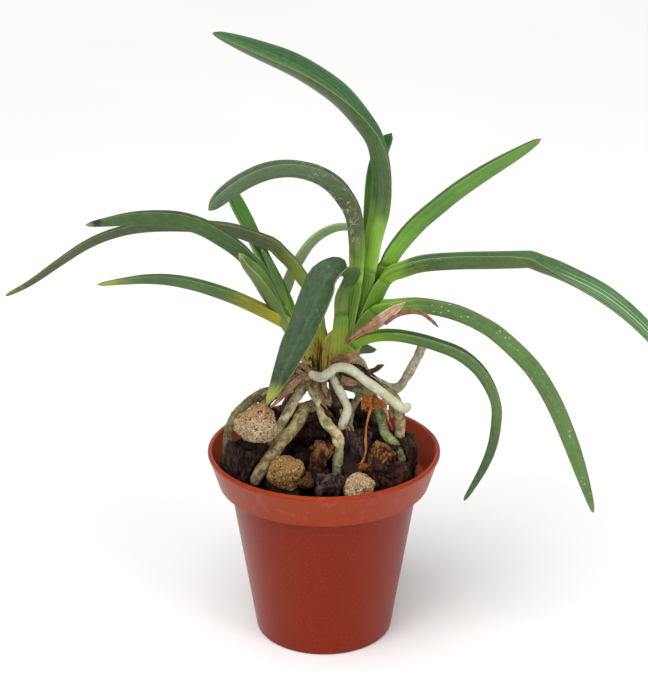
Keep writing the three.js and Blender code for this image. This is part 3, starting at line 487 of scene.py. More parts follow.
def root_finish(name, light, dark, green, greening=0.25, dirt=0.5, smooth=0.0):
    """A root's spongy skin: mottled, cracked across and wrinkled along its length, with earth in its hollows."""
    f = Finish(name + "_skin", Specular_IOR_Level=0.25)
    rough_share = 1 - smooth
    mottle = f.cloud(1.6, 6, low=0.36, high=0.64)
    grit = f.cloud(0.3, 5)
    colour = f.blend(f.sum("MULTIPLY", mottle, rough_share), light, dark)
    colour = f.blend(f.sum("MULTIPLY", f.cloud(5, 3, shift=(4, 2, 7), low=0.42, high=0.62), greening), colour, green)
    pits = f.spread(f.cells(0.42, bend=0.6), 0.34, 0.12)
    pits = f.sum("MULTIPLY", pits, f.cloud(1.5, 3, low=0.42, high=0.6, shift=(2, 8, 3)))
    colour = f.blend(f.sum("MULTIPLY", pits, 0.75 * rough_share), colour, "#4a3a26")
    splits = f.spread(f.cells(0.16, "DISTANCE_TO_EDGE", source=f.map, stretch=(0.5, 2.4, 1), bend=0.9), 0.05, 0.0)
    splits = f.sum("MULTIPLY", splits, f.cloud(3, 3, low=0.45, high=0.6, shift=(6, 1, 5)))
    colour = f.blend(f.sum("MULTIPLY", splits, 0.7 * rough_share), colour, "#3f3020")
    stain = f.cloud(1.3, 6, low=0.52, high=0.62, shift=(9, 4, 1))
    colour = f.blend(f.sum("MULTIPLY", stain, dirt), colour, "#47341f")
    colour = f.blend(f.sum("MULTIPLY", f.spread(grit, 0.5, 1), 0.25), colour, "#ddd4b4")
    # Darker towards the bottom, from 54 mm down to 46 mm, where the roots go in among the bark.
    deep = f.spread(f.step("SeparateXYZ", {"Vector": f.place}).outputs["Z"], 0.054, 0.046)
    colour = f.blend(f.sum("MULTIPLY", deep, 0.55), colour, "#35271b")
    wrinkles = f.cloud(0.05, 4, source=f.map, stretch=(1, 4, 1))
    height = f.sum("ADD", f.sum("MULTIPLY", grit, 0.9), f.sum("MULTIPLY", wrinkles, 0.5))
    height = f.sum("SUBTRACT", height, f.sum("MULTIPLY", f.sum("ADD", pits, splits), rough_share))
    return f.done(colour, f.sum("ADD", f.sum("MULTIPLY", grit, 0.15), 0.62 - 0.12 * smooth), f.bump(height, 0.16))


def stone_finish(name, pale, tan, brown, tanning=0.5, rust=None):
    """Pumice: pale and full of fine dark pits, with rusty patches."""
    f = Finish(name, Specular_IOR_Level=0.12)
    patches = f.cloud(4.2, 4, low=0.42, high=0.6)
    colour = f.blend(f.sum("MULTIPLY", patches, tanning), pale, tan)
    if rust:
        top = f.spread(f.step("SeparateXYZ", {"Vector": f.place}).outputs["Z"], *rust[:2])
        colour = f.blend(f.sum("MULTIPLY", top, f.spread(patches, 0, 1, 0.5, 0.9)), colour, rust[2])
    grit = f.cloud(0.35, 6, low=0.35, high=0.65)
    colour = f.blend(f.sum("MULTIPLY", grit, 0.6), colour, f.blend(1.0, colour, "#97816a", "MULTIPLY"))
    pits = f.spread(f.cells(0.95, bend=0.9), 0.36, 0.2)
    small = f.spread(f.cells(0.45, bend=0.7), 0.36, 0.18)
    scattered = f.sum("MULTIPLY", pits, f.cloud(1.6, 2, low=0.44, high=0.54, shift=(5, 5, 5)))
    colour = f.blend(f.sum("MULTIPLY", scattered, 0.9), colour, brown)
    colour = f.blend(f.sum("MULTIPLY", small, 0.7), colour, brown)
    height = f.sum("SUBTRACT", grit, f.sum("ADD", f.sum("MULTIPLY", scattered, 1.5), f.sum("MULTIPLY", small, 0.8)))
    return f.done(colour, f.sum("ADD", f.sum("MULTIPLY", grit, 0.1), 0.88), f.bump(height, 0.24))


def bark_finish(name, dark, mid, light, lighting=0.3, stretch=(1, 1, 0.35)):
    """Bark: dark, split along the grain, with rusty and tan fibres, and painted shade in its cracks."""
    f = Finish(name, Specular_IOR_Level=0.15)
    grains = f.cloud(0.7, 6, stretch=stretch, low=0.36, high=0.64)
    plates = f.cloud(2.8, 5, stretch=stretch, low=0.45, high=0.6)
    colour = f.blend(grains, dark, mid)
    colour = f.blend(f.sum("MULTIPLY", plates, lighting), colour, light)
    # Painted shade: the cracks, sunk by the bump, are painted nearly black.
    cracks = f.spread(f.cells(1.9, "DISTANCE_TO_EDGE", stretch=stretch, bend=1.6), 0.07, 0.0)
    cracks = f.sum("MULTIPLY", cracks, f.cloud(2, 3, low=0.4, high=0.55, shift=(7, 3, 1)))
    colour = f.blend(f.sum("MULTIPLY", cracks, 0.85), colour, "#080505")
    dust = f.cloud(0.3, 4, low=0.6, high=0.7)
    colour = f.blend(f.sum("MULTIPLY", dust, 0.3), colour, "#7d5e49")
    height = f.sum("SUBTRACT", f.sum("ADD", f.sum("MULTIPLY", grains, 1.4), plates), cracks)
    return f.done(colour, f.sum("ADD", f.sum("MULTIPLY", grains, 0.25), 0.6), f.bump(height, 0.32))


def straw_finish(name, pale, dark, far=None):
    """Dry sheaths and stalks: papery, streaked along their length, and another colour from their middle on."""
    f = Finish(name, Specular_IOR_Level=0.25)
    share = f.step("SeparateXYZ", {"Vector": f.map}).outputs["Y"]
    streaks = f.cloud(0.04, 4, source=f.map, stretch=(1, 0.08, 1))
    blotches = f.cloud(1.4, 5)
    colour = f.blend(streaks, pale, dark)
    if far:
        colour = f.blend(f.spread(share, 0.4, 0.6), colour, f.blend(streaks, far, pale))
    colour = f.blend(f.sum("MULTIPLY", blotches, 0.6), colour, f.blend(1.0, colour, "#9c8270", "MULTIPLY"))
    fine = f.cloud(0.25, 4)
    colour = f.blend(f.sum("MULTIPLY", f.spread(fine, 0.4, 1), 0.3), colour, "#e3d0b2")
    return f.done(colour, f.sum("ADD", f.sum("MULTIPLY", fine, 0.1), 0.72), f.bump(f.sum("ADD", streaks, fine), 0.12))


def heap_finish():
    """The potting heap: bark brown where it stands up, and nearly black painted shade in its gaps."""
    f = Finish("potting_heap", Specular_IOR_Level=0.15)
    clear_of_gap_shade = f.step("Attribute", attribute_name="clear_of_gap_shade").outputs["Fac"]
    grains = f.cloud(0.7, 6)
    plates = f.cloud(5, 3, low=0.42, high=0.6)
    brown = f.blend(plates, "#241813", "#35231b")
    brown = f.blend(f.sum("MULTIPLY", grains, 0.6), brown, "#130d0c")
    # Painted shade: the low places between the chips are painted nearly black.
    colour = f.blend(f.spread(clear_of_gap_shade, 0.3, 1), "#050304", brown)
    return f.done(colour, f.sum("ADD", f.sum("MULTIPLY", grains, 0.2), 0.6), f.bump(grains, 0.3))


def tinted_finish(name, stops, grain_size):
    """A dull dry skin whose colour follows each scrap's own tint, through the stops."""
    f = Finish(name, Specular_IOR_Level=0.15)
    ramp = f.step("ValToRGB", {"Fac": f.step("Attribute", attribute_name="tint").outputs["Fac"]})
    for index, (at, code) in enumerate(stops):
        stop = ramp.color_ramp.elements[index] if index < 2 else ramp.color_ramp.elements.new(at)
        stop.position, stop.color = at, shade(code)
    grains = f.cloud(grain_size, 5)
    colour = ramp.outputs["Color"]
    colour = f.blend(f.sum("MULTIPLY", grains, 0.6), colour, f.blend(1.0, colour, "#6f5f58", "MULTIPLY"))
    return f.done(colour, f.sum("ADD", f.sum("MULTIPLY", grains, 0.2), 0.6), f.bump(grains, 0.25))


def pot_finish():
    """Moulded plastic: satin terracotta with faint flow marks, dust, and dried water near the rim, painted shade on
    the body below the band, a faint painted highlight on the lip and painted light on the inside of the cup.
    """
    f = Finish("pot_plastic", Specular_IOR_Level=0.2, Specular_Tint=(1, 0.6, 0.45, 1))
    height = f.step("SeparateXYZ", {"Vector": f.place}).outputs["Z"]
    inner_wall_painted_light = f.step("Attribute", attribute_name="inner_wall_painted_light").outputs["Fac"]
    flow = f.cloud(14, 3, stretch=(1, 1, 0.25))
    dust = f.cloud(0.4, 4, low=0.55, high=0.75)
    # Painted shade: the body below the band is painted darker than the band. Faint painted highlight: the lip is
    # painted a touch lighter, at half strength.
    colour = f.blend(f.spread(height, 0.0375, 0.0395), "#7a2008", "#91300c")
    colour = f.blend(f.sum("MULTIPLY", f.spread(height, 0.0455, 0.0468), 0.5), colour, "#93300f")
    # Painted light: the inside of the cup is painted a paler, lighter copy of the same plastic.
    colour = f.blend(inner_wall_painted_light, colour, "#b04a34")
    colour = f.blend(f.sum("MULTIPLY", flow, 0.2), colour, f.blend(1.0, colour, "#c9b5a8", "MULTIPLY"))
    marks = f.sum("MULTIPLY", f.cloud(2.6, 5, low=0.56, high=0.66), f.spread(height, 0.03, 0.046))
    colour = f.blend(f.sum("MULTIPLY", marks, 0.06), colour, "#d9a58c")
    colour = f.blend(f.sum("MULTIPLY", dust, 0.05), colour, "#e0b8a2")
    rough = f.sum("ADD", f.sum("MULTIPLY", f.sum("ADD", flow, dust), 0.06), 0.3)
    grains = f.cloud(0.25, 2)
    return f.done(colour, rough, f.bump(f.sum("ADD", grains, f.sum("MULTIPLY", flow, 2.0)), 0.012))


# The tables of the plant. Each spine runs along a keel, from foot to tip, and face is the way that the fold
# opens, at places spread evenly along it. Of a sheath, half and plump are its foot's half width and half depth.
# Of a leaf, arms are the widths of one side of its fold, and open is each side's angle from its middle plane in
# degrees. A higher taper keeps it broad nearer to its tip. sunk is how far its foot goes into the fan.
RIGHT_SHEATHS = [
    {"spine": [[2, 0, 66], [4, -1.5, 70.5]], "face": [-1, 0, 0.3], "half": 2.4, "plump": 2.6},
    {"spine": [[2.5, -1, 67.5], [3.2, -2.4, 74.5]], "face": [0.8, 0.5, 0], "half": 2.6, "plump": 2.2},
    {"spine": [[3, 0, 67], [5, -1, 78.5]], "face": [1, 0, 0], "half": 2.8, "plump": 2.6},
    {"spine": [[3.5, 1, 67], [7.3, 0.8, 79.5]], "face": [1, 0, 0], "half": 2.8, "plump": 2.6},
    {"spine": [[4, 2, 67], [9, 2, 79.5]], "face": [-1, 0, 0.3], "half": 2.8, "plump": 2.4},
    {"spine": [[4, 1, 67], [9, 0, 78]], "face": [-1, 0, 0.3], "half": 2.8, "plump": 2.7},
    {"spine": [[3, 0, 66.5], [7, -0.8, 74.5]], "face": [-1, 0, 0.3], "half": 2.7, "plump": 2.8},
]
LEFT_SHEATHS = [
    {"spine": [[-1, 3.4, 65.5], [-1.2, 4.4, 74]], "face": [1, 0, 0], "half": 2.4, "plump": 2.2},
    {"spine": [[-1.5, 3, 66], [-6, 3, 73.5]], "face": [1, 0, 0.2], "half": 2.5, "plump": 2.2},
    {"spine": [[-2, 3, 65.5], [-4.5, 2, 71.5]], "face": [0.8, 0, 0.6], "half": 2.4, "plump": 2.3},
    {"spine": [[-1.5, 5, 65], [-5, 6.8, 72]], "face": [-1, 0, 0.2], "half": 2.2, "plump": 2.2},
]
RIGHT_STEM = {"spine": [[1.2, 1.2, 63], [2.6, 1, 69], [4.4, 0.2, 77]], "radius": 3.4, "head": 0.7}
LEFT_STEM = {"spine": [[-0.6, 2.6, 63.4], [-2.8, 3.6, 69], [-5, 4.2, 75]], "radius": 3, "head": 0.7}
RIGHT_LEAVES = {
    "leaf_front_bent": {
        "spine": [
            [3.6, -3.2, 81.7], [3.6, -3.6, 85.8], [4.3, -4, 88.3], [5.4, -5, 90.8], [5.6, -6.5, 93.2],
            [4, -8.2, 94.5], [2, -9.6, 94], [0.2, -10.4, 92.6], [-0.8, -11, 90.3], [-2.8, -12, 85.5],
            [-4.7, -13, 81.1], [-6.4, -13.6, 78], [-8, -14.6, 74.5], [-10.4, -16.2, 69.6], [-13, -18.4, 65.6],
        ],
        "face": [
            [0.8, 0.5, 0], [0.7, 0.6, 0.3], [0.3, 0.1, 1], [-0.35, -0.8, 0.45], [-0.35, -0.85, 0.35],
            [-0.3, -0.9, 0.35], [-0.3, -0.9, 0.3], [-0.3, -0.9, 0.3],
        ],
        "arms": [2, 2.2, 3.5, 4.4, 4.2, 3.9, 3.4, 2.7], "open": [28, 28, 46, 60, 62, 60, 58, 52], "taper": 5,
    },
    "leaf_arching": {
        "spine": [
            [7.1, -1.7, 88.6], [7.4, -2, 94.2], [7.4, -2, 99.1], [6.7, -2.3, 104.8], [4.7, -2.8, 109],
            [2, -3.3, 112.4], [-2, -4.1, 115], [-7.1, -4.9, 116.3], [-12.2, -5.8, 116], [-17, -6.7, 114.2],
            [-21.4, -7.4, 111.4], [-25.5, -8, 107.8],
        ],
        "face": [[1, 0, 0.1], [1, 0, 0.3], [0.4, 0, 1], [-0.3, -0.1, 1], [-0.6, -0.2, 0.8]],
        "arms": [2.2, 2.8, 3.3, 2.8, 2.9, 3.2], "open": [28, 28, 30, 30], "taper": 14,
    },
    "leaf_tall": {
        "spine": [
            [10.1, 0.4, 91.1], [11.1, 0.2, 98.5], [12.4, 0, 105], [13, -0.5, 112], [11.6, -1.6, 120.6],
            [8.5, -2.2, 126], [2.8, -3.2, 132.3], [-5.4, -4, 138], [-14.6, -4, 142.2], [-24, -4, 146.3],
        ],
        "face": [
            [1, 0, 0.1], [1, 0, 0.2], [0.8, -0.2, 0.6], [0.3, -0.5, 0.9], [0.25, -0.55, 0.85],
            [0.2, -0.5, 0.85],
        ],
        "arms": [2.6, 3.8, 3.1, 4.3, 5, 5], "open": [28, 28, 30, 38, 42], "taper": 4.4,
    },
    "leaf_inner": {
        "spine": [[10.8, 3.2, 91], [11, 4.4, 101.5], [11.7, 6, 110.5], [13.3, 7, 116.5], [15.3, 8, 121.2]],
        "face": [[-1, -0.4, 0], [-0.7, -0.8, 0.2]], "arms": [2.2, 2.5, 2.6, 2.8], "open": [28, 30, 54],
        "taper": 12, "sunk": 11,
    },
    "leaf_rising": {
        "spine": [
            [14.3, 2, 91.6], [17.2, 2.5, 96.4], [21.2, 3, 101.1], [25.5, 3.6, 104.8], [29.9, 4.3, 108.3],
            [34.5, 5, 111.4], [39.3, 5.7, 114.3], [44.2, 6.4, 117.1], [49, 7, 120.1],
        ],
        "face": [[-1, 0.1, 0.6], [-0.4, 0, 0.9]], "arms": [2.8, 3.1, 3, 2.9, 2.8, 2.8], "open": [28, 28, 28],
        "taper": 5,
    },
    "leaf_kinked": {
        "spine": [
            [13.7, -0.4, 88.8], [18.4, -0.6, 91.5], [22.8, -1.1, 93], [30, -2, 93.9], [37.5, -2.8, 94.3],
            [44, -3.8, 94.7], [46.4, -4.3, 94.8], [48.4, -4.8, 94], [53.1, -5.8, 92.3], [62.3, -7.8, 87.9],
            [70.3, -10.2, 82], [76.5, -12.4, 75.4], [81.5, -14.2, 68],
        ],
        "face": [
            [-1, 0, 1], [-0.1, 0, 1], [0.1, -0.1, 1], [0.3, -0.7, 0.85], [0.45, -0.8, 0.65], [0.65, -0.75, 0.5],
        ],
        "arms": [2.5, 2.9, 2.9, 3, 3, 2.9, 2.8], "open": [28, 28, 28, 46, 58, 58, 56], "taper": 5,
    },
    "leaf_long": {
        "spine": [
            [11.4, -1.3, 81.6], [16.1, -2.6, 83.2], [21.1, -3.4, 83.9], [26, -3.9, 83.4], [30.8, -4.6, 82.3],
            [35.3, -5.2, 80.4], [39.5, -5.9, 77.8], [46.7, -7.3, 71], [52.1, -8.4, 62.8], [56.2, -9.5, 53.7],
            [59.7, -10.3, 44.4], [63, -11, 35],
        ],
        "face": [[-1, 0.2, 0.9], [0.1, 0.3, 1], [0.8, 0.45, 0.7], [1, 0.5, 0.2]],
        "arms": [2.4, 2.6, 3, 3.3, 3.8, 3.9], "open": [28, 28, 28], "taper": 3,
    },
    "leaf_hooked": {
        "spine": [
            [6.4, -2.2, 73.6], [11, -3, 76], [16, -4, 76.7], [20.9, -4.9, 76.2], [26, -5.9, 75],
            [30.8, -6.9, 73.3], [34.9, -7.4, 70.1], [37.8, -8, 66], [39.6, -8, 61.3], [39.7, -8, 56.2],
            [39, -8, 50.9], [37.4, -8, 45.9], [35.2, -8, 41.2], [32.8, -8, 36.6],
        ],
        "face": [[-0.9, 0, 1], [0.1, 0, 1], [0.8, 0, 0.8], [1, 0, -0.3]], "arms": [1.6, 1.8, 2, 1.6, 1.7, 1.7],
        "open": [28, 30, 30, 28], "taper": 4,
    },
    "leaf_small_back": {
        "spine": [[4.6, 4.6, 67.5], [7, 6.5, 68.6], [9.5, 8.3, 68.6], [12.6, 10, 67.6]],
        "face": [[0, 0, 1], [0.2, 0.2, 1]], "arms": [1.6, 2, 1.8], "open": [50, 55, 50], "taper": 4,
    },
}
LEFT_LEAVES = {
    "leaf_left_broad": {
        "spine": [
            [-10, 2.4, 81.6], [-12.5, 2, 86.2], [-15.5, 1.7, 90.8], [-18.9, 1.3, 95], [-23, 1, 98.3],
            [-27.7, 1, 101.1], [-32.9, 1, 102.7], [-38.2, 1, 103.2], [-43.3, 1, 103.1], [-48.7, 1, 102.4],
            [-54, 1, 101.6],
        ],
        "face": [[1, 0.1, 0.5], [0.6, 0.1, 1], [0, 0.1, 1], [-0.2, 0.15, 1]],
        "arms": [1.7, 2.4, 2.9, 3.1, 2.7, 2.2], "open": [28, 28, 28], "taper": 4.6,
    },
    "leaf_left_long": {
        "spine": [
            [-2.4, 5, 83], [-4.9, 5.5, 87.1], [-7.6, 6.3, 90.8], [-9.7, 6.8, 92.8], [-11.8, 7.3, 94.8],
            [-14.8, 7.8, 95.9], [-17.5, 8.2, 96.9], [-23.1, 8.6, 98.3], [-33.3, 9.2, 98.8], [-42.5, 9.3, 98.3],
            [-49.5, 9.1, 96.7], [-55.4, 8.8, 94.1], [-61.3, 8.3, 90.3], [-68.5, 7.6, 85.4], [-74.4, 7, 82.4],
        ],
        "face": [[1, 0, 0.3], [0.6, 0, 1], [0, 0, 1], [-0.4, 0, 0.9]], "arms": [1.9, 2.2, 1.8, 1.5, 1.3, 1.2],
        "open": [28, 28, 30], "taper": 6,
    },
    "leaf_left_short": {
        "spine": [
            [-10.5, -0.6, 81.2], [-12.3, -1.2, 85], [-15.1, -2, 90.1], [-17.4, -2.8, 93.3], [-19.2, -3.4, 96.6],
        ],
        "face": [[1, 0, 0.5], [0.7, -0.5, 0.6]], "arms": [1.8, 2.6, 2.8, 2.3], "open": [28, 34, 38],
        "taper": 3.6, "sunk": 9,
    },
    "leaf_left_upright": {
        "spine": [
            [-8.6, 8.4, 79.5], [-11.5, 9.4, 85], [-14.7, 10.8, 90.6], [-18, 13, 97.3], [-20.3, 14.4, 101.6],
            [-22.7, 15.2, 106.8],
        ],
        "face": [[1, -0.6, 0.2], [0.6, -0.8, 0.4]], "arms": [2, 2.4, 2.6, 2.9], "open": [30, 38, 50],
        "taper": 10, "keel": 1.1,
    },
    "leaf_left_sliver": {
        "spine": [[-8, 5.6, 78], [-9.6, 5.4, 83], [-12.1, 5, 90], [-14.5, 4.6, 95]],
        "face": [[1, -0.3, 0.3], [1, -0.5, 0.3]], "arms": [0.8, 1, 0.8], "open": [30, 30, 30], "taper": 5,
        "keel": 1,
    },
    "leaf_left_low": {
        "spine": [
            [-7.6, 0.8, 77], [-11, -0.2, 79.7], [-15.9, -1.7, 82.9], [-20.2, -3.1, 85.5], [-24.8, -4.2, 87.7],
            [-29.7, -5, 89.5], [-34.9, -5.6, 90.7], [-40.1, -6.2, 91.1], [-45.3, -7, 90.9], [-50.8, -8, 90.5],
        ],
        "face": [[0.6, 0, 1], [0, 0, 1]], "arms": [2, 2.1, 2.1, 2, 1.9, 1.5], "open": [28, 30, 30], "taper": 3,
    },
    "leaf_left_back_arch": {
        "spine": [
            [-9.3, 9.9, 79.6], [-8.6, 11, 84], [-7, 11.8, 87.6], [-5.3, 12.2, 90.5], [-2.9, 13.2, 93.6],
            [0.5, 14.1, 95.9], [4.5, 15, 96.8], [9, 16, 95.4], [13, 17, 92],
        ],
        "face": [[-1, 0.1, 0.2], [-0.7, 0.1, 0.9], [0.5, 0.1, 0.9]], "arms": [2, 1.9, 1.5, 1.3, 1.2],
        "open": [28, 30, 30], "taper": 5, "keel": 1.1,
    },
}
ROOTS = {
    "root_young_long": {
        "spine": [
            [-3.7, -4.4, 67.9], [-2.3, -5, 67.3], [-0.5, -6, 67.3], [1.1, -6.2, 68.4], [3, -6.2, 69.8],
            [6, -6.4, 69.4], [9.9, -6.7, 66.4], [13.8, -7.2, 63.6], [17, -8, 61.2], [18.6, -8.2, 60.4],
            [19.8, -8.2, 61.8],
        ],
        "radius": 1.05, "head": 0.8,
    },
    "root_young_short": {
        "spine": [
            [2, -1.6, 68], [2.1, -4.2, 66.4], [4.6, -5.4, 61.6], [5.4, -6.2, 59.2], [4.3, -7.4, 56.2],
            [3.9, -8, 54.7],
        ],
        "radius": 1,
    },
    "root_front": {
        "spine": [
            [-1.8, -0.4, 65.8], [-2.8, -3.4, 64.5], [-0.9, -6, 60.4], [0.7, -9, 57], [2.9, -11, 55.2],
            [3.4, -12.4, 52.1], [3, -13.2, 44],
        ],
        "radius": 1.2,
    },
    "root_front_left": {
        "spine": [
            [-0.6, 0.4, 59], [-2.6, -2.4, 58.6], [-4.2, -4, 58.7], [-5.3, -6, 57.6], [-6.9, -8.6, 56],
            [-11.2, -13, 52.2], [-16.4, -17.6, 45.4],
        ],
        "radius": 1.4,
    },
    "root_left_inner": {
        "spine": [[-1.8, 0.8, 65], [-5.2, -3, 62.8], [-8.3, -6, 58.6], [-10.4, -8.6, 54.9], [-12, -10, 47]],
        "radius": 1.05,
    },
    "root_left": {
        "spine": [
            [-1.6, 2, 63.6], [-6.5, 1.4, 61.8], [-11, 0.4, 61.2], [-14.7, -0.6, 60.6], [-17.8, -1.2, 59],
            [-20, -2, 56.6], [-21.8, -2.8, 53.6], [-22.6, -3, 49.6], [-23, -3, 43],
        ],
        "radius": 1.15,
    },
    "root_right_inner": {
        "spine": [[4.6, 1.6, 63.8], [8, 0.2, 60.5], [6.6, -1.4, 57.6], [5.9, -2.6, 54], [5.6, -3, 49]],
        "radius": 0.8,
    },
    "root_right_green": {
        "spine": [
            [2.6, 0.4, 63.4], [5, -1.8, 63.3], [7.9, -2.8, 63.1], [10.9, -4, 61.8], [12.7, -5.2, 59.4],
            [13.4, -6.2, 56.6], [14.4, -7.2, 53.4], [17, -8.6, 51], [18.4, -9.2, 47],
        ],
        "radius": 1,
    },
    "root_right_thick": {
        "spine": [
            [8.6, 1.2, 62.4], [13, -0.8, 61.8], [16.4, -2.8, 60.6], [17.3, -4, 57.6], [17.7, -4.6, 55],
            [17.7, -5.2, 52], [17.6, -5.4, 46],
        ],
        "radius": 1.3,
    },
    "root_aerial": {
        "spine": [
            [3.2, 4.2, 68], [5.9, 5.2, 67.8], [8.5, 6.2, 66], [10.4, 6.7, 62.6], [12.8, 6.4, 60.9],
            [15.9, 5.2, 59.8], [18, 4.4, 60.8], [20, 3, 64.9], [21.8, 1.8, 69.2], [23.2, 0.6, 73.4],
        ],
        "radius": 1.05,
    },
    "root_back_left": {
        "spine": [[-1.4, 4.4, 65], [-5, 9, 61], [-8.5, 13, 53.5], [-10, 15.4, 42]], "radius": 1.2,
    },
    "root_back_middle": {"spine": [[1, 4, 64], [2.6, 9.4, 61], [2.4, 14, 55.5], [4, 18, 42]], "radius": 1.25},
    "root_back_right": {
        "spine": [[3.4, 3.4, 63.8], [7, 9.6, 59.5], [11.4, 13, 52.5], [13, 15, 42]], "radius": 1.1,
    },
    "root_far_left": {
        "spine": [[-2.2, 4.2, 64], [-8, 7.4, 60.5], [-14, 9, 54.5], [-17, 10, 42]], "radius": 1.15,
    },
}
DRY = {
    "dry_sheath_right": {
        "spine": [
            [5.2, -4.4, 75], [8, -5, 77.4], [11, -5.6, 79.3], [13.5, -6.2, 81.4], [16, -6.8, 83.8],
            [18.6, -7.4, 86.4],
        ],
        "face": [[-0.5, -0.6, 0.6], [-0.6, -0.7, 0.5]], "arms": [0.7, 0.9, 1.5, 2.2, 2, 1.3],
        "open": [40, 55, 62], "taper": 3,
    },
    "dry_stalk": {
        "spine": [
            [13.8, -7.6, 81], [16, -8, 82.9], [18.5, -8, 83.8], [21.5, -8, 83.8], [23.6, -8.2, 82.6],
            [26, -8.6, 80.4],
        ],
        "face": [[0, 0, 1], [0.3, 0, 1]], "arms": [0.55, 0.6], "open": [40, 40], "taper": 9,
    },
    "dry_sheath_low": {
        "spine": [[1.6, -4.2, 69.8], [5, -5, 71.2], [8.8, -5.8, 73.2]],
        "face": [[-0.3, -0.8, 0.6], [-0.4, -0.8, 0.5]], "arms": [1.2, 1.5, 1], "open": [40, 50], "taper": 4,
    },
    "dry_sheath_foot": {
        "spine": [[1.4, -4, 65.6], [4.6, -4.8, 65.8], [8.4, -5.2, 65.2]],
        "face": [[0, -0.9, 0.5], [0, -0.9, 0.5]], "arms": [1, 1.4, 1], "open": [45, 50], "taper": 5,
    },
    "dry_sheath_left": {
        "spine": [[-3.6, -1.6, 68.6], [-6.4, -3.4, 66.8], [-8.1, -6, 64.8], [-9.8, -9, 63]],
        "face": [[-0.6, -0.6, 0.6], [-0.6, -0.5, 0.6]], "arms": [1.4, 1.8, 1.2], "open": [50, 60, 50],
        "taper": 3,
    },
    "dry_strip_hanging": {
        "spine": [[-0.6, -3.8, 65.6], [0, -5.2, 64.2], [0.7, -6.4, 62.6], [1.6, -7.6, 60.4]],
        "face": [[0, -1, 0.2], [0.2, -1, 0]], "arms": [0.8, 1.2, 1], "open": [55, 60], "taper": 5,
    },
    "dry_bract": {
        "spine": [[9.8, 5, 63.8], [12, 4.6, 64.6], [14.2, 4, 66.4]], "face": [[0, -0.6, 0.8], [0, -0.6, 0.8]],
        "arms": [0.9, 1, 0.9], "open": [40, 45], "taper": 6,
    },
}
BARE_CORE = {
    "spine": [
        [10.6, -7.6, 63], [10.7, -8, 60.5], [9.9, -8.6, 56.7], [9.6, -9.4, 53.5], [9.6, -10.4, 50.4],
        [8.4, -11.8, 47.6],
    ],
    "radius": BARE_CORE_RADIUS, "tip": 0.8,
}
# The crumbs of old skin that hang on the bare core.
CORE_TUFTS = [
    {"at": [9.9, -8, 62], "radii": [1.5, 1.1, 2]},
    {"at": [12.8, -7.8, 61.6], "radii": [2.2, 1.1, 1.5]},
    {"at": [9, -12, 47.4], "radii": [1.6, 1.2, 0.8]},
]
# The seed of each pebble's lumps and pits.
STONES = {
    "pumice_large": 1.2, "pumice_front": 2.6, "pumice_chip": 4.1, "pumice_right": 5.3, "pumice_back": 6.4,
}
# The turn of each piece's grain, and the seed of its plates.
BARK = {
    "bark_left": {"turn": [0.1, 0.15, 0.5], "seed": 31},
    "bark_behind": {"turn": [0.5, 0.3, 0.2], "seed": 32},
    "bark_split": {"turn": [0.1, 0.3, 0.3], "seed": 33},
    "bark_front": {"turn": [0.3, 0.1, 0.1], "seed": 34},
    "bark_middle": {"turn": [-0.1, 0.1, 0.3], "seed": 35},
    "bark_orange": {"turn": [0.2, 0.4, 0.6], "seed": 36},
    "bark_right": {"turn": [0.15, -0.15, -0.3], "seed": 37},
    "bark_far_right": {"turn": [0.1, 0.1, 0.1], "seed": 38},
    "bark_back": {"turn": [0.3, 0.1, 0.4], "seed": 39},
    "bark_back_left": {"turn": [0.2, 0.3, -0.6], "seed": 40},
}
# Chips wedged under the large pebble: each one's place, size and tint.
WEDGED_CHIPS = [
    ([-16.6, -12.7, 54.2], [3.8, 3, 2], 0.5),
    ([-17.2, -14.6, 54.3], [3, 2.6, 1.7], 0.3),
    ([-14.8, -12.7, 54.1], [3.2, 2.6, 2.2], 0.7),
]
SHEATH_OF = {
    "leaf_hooked": RIGHT_SHEATHS[0], "leaf_front_bent": RIGHT_SHEATHS[1], "leaf_arching": RIGHT_SHEATHS[2],
    "leaf_tall": RIGHT_SHEATHS[3], "leaf_rising": RIGHT_SHEATHS[4], "leaf_kinked": RIGHT_SHEATHS[5],
    "leaf_long": RIGHT_SHEATHS[6], "leaf_left_long": LEFT_SHEATHS[0], "leaf_left_broad": LEFT_SHEATHS[1],
    "leaf_left_low": LEFT_SHEATHS[2], "leaf_left_back_arch": LEFT_SHEATHS[3],
}
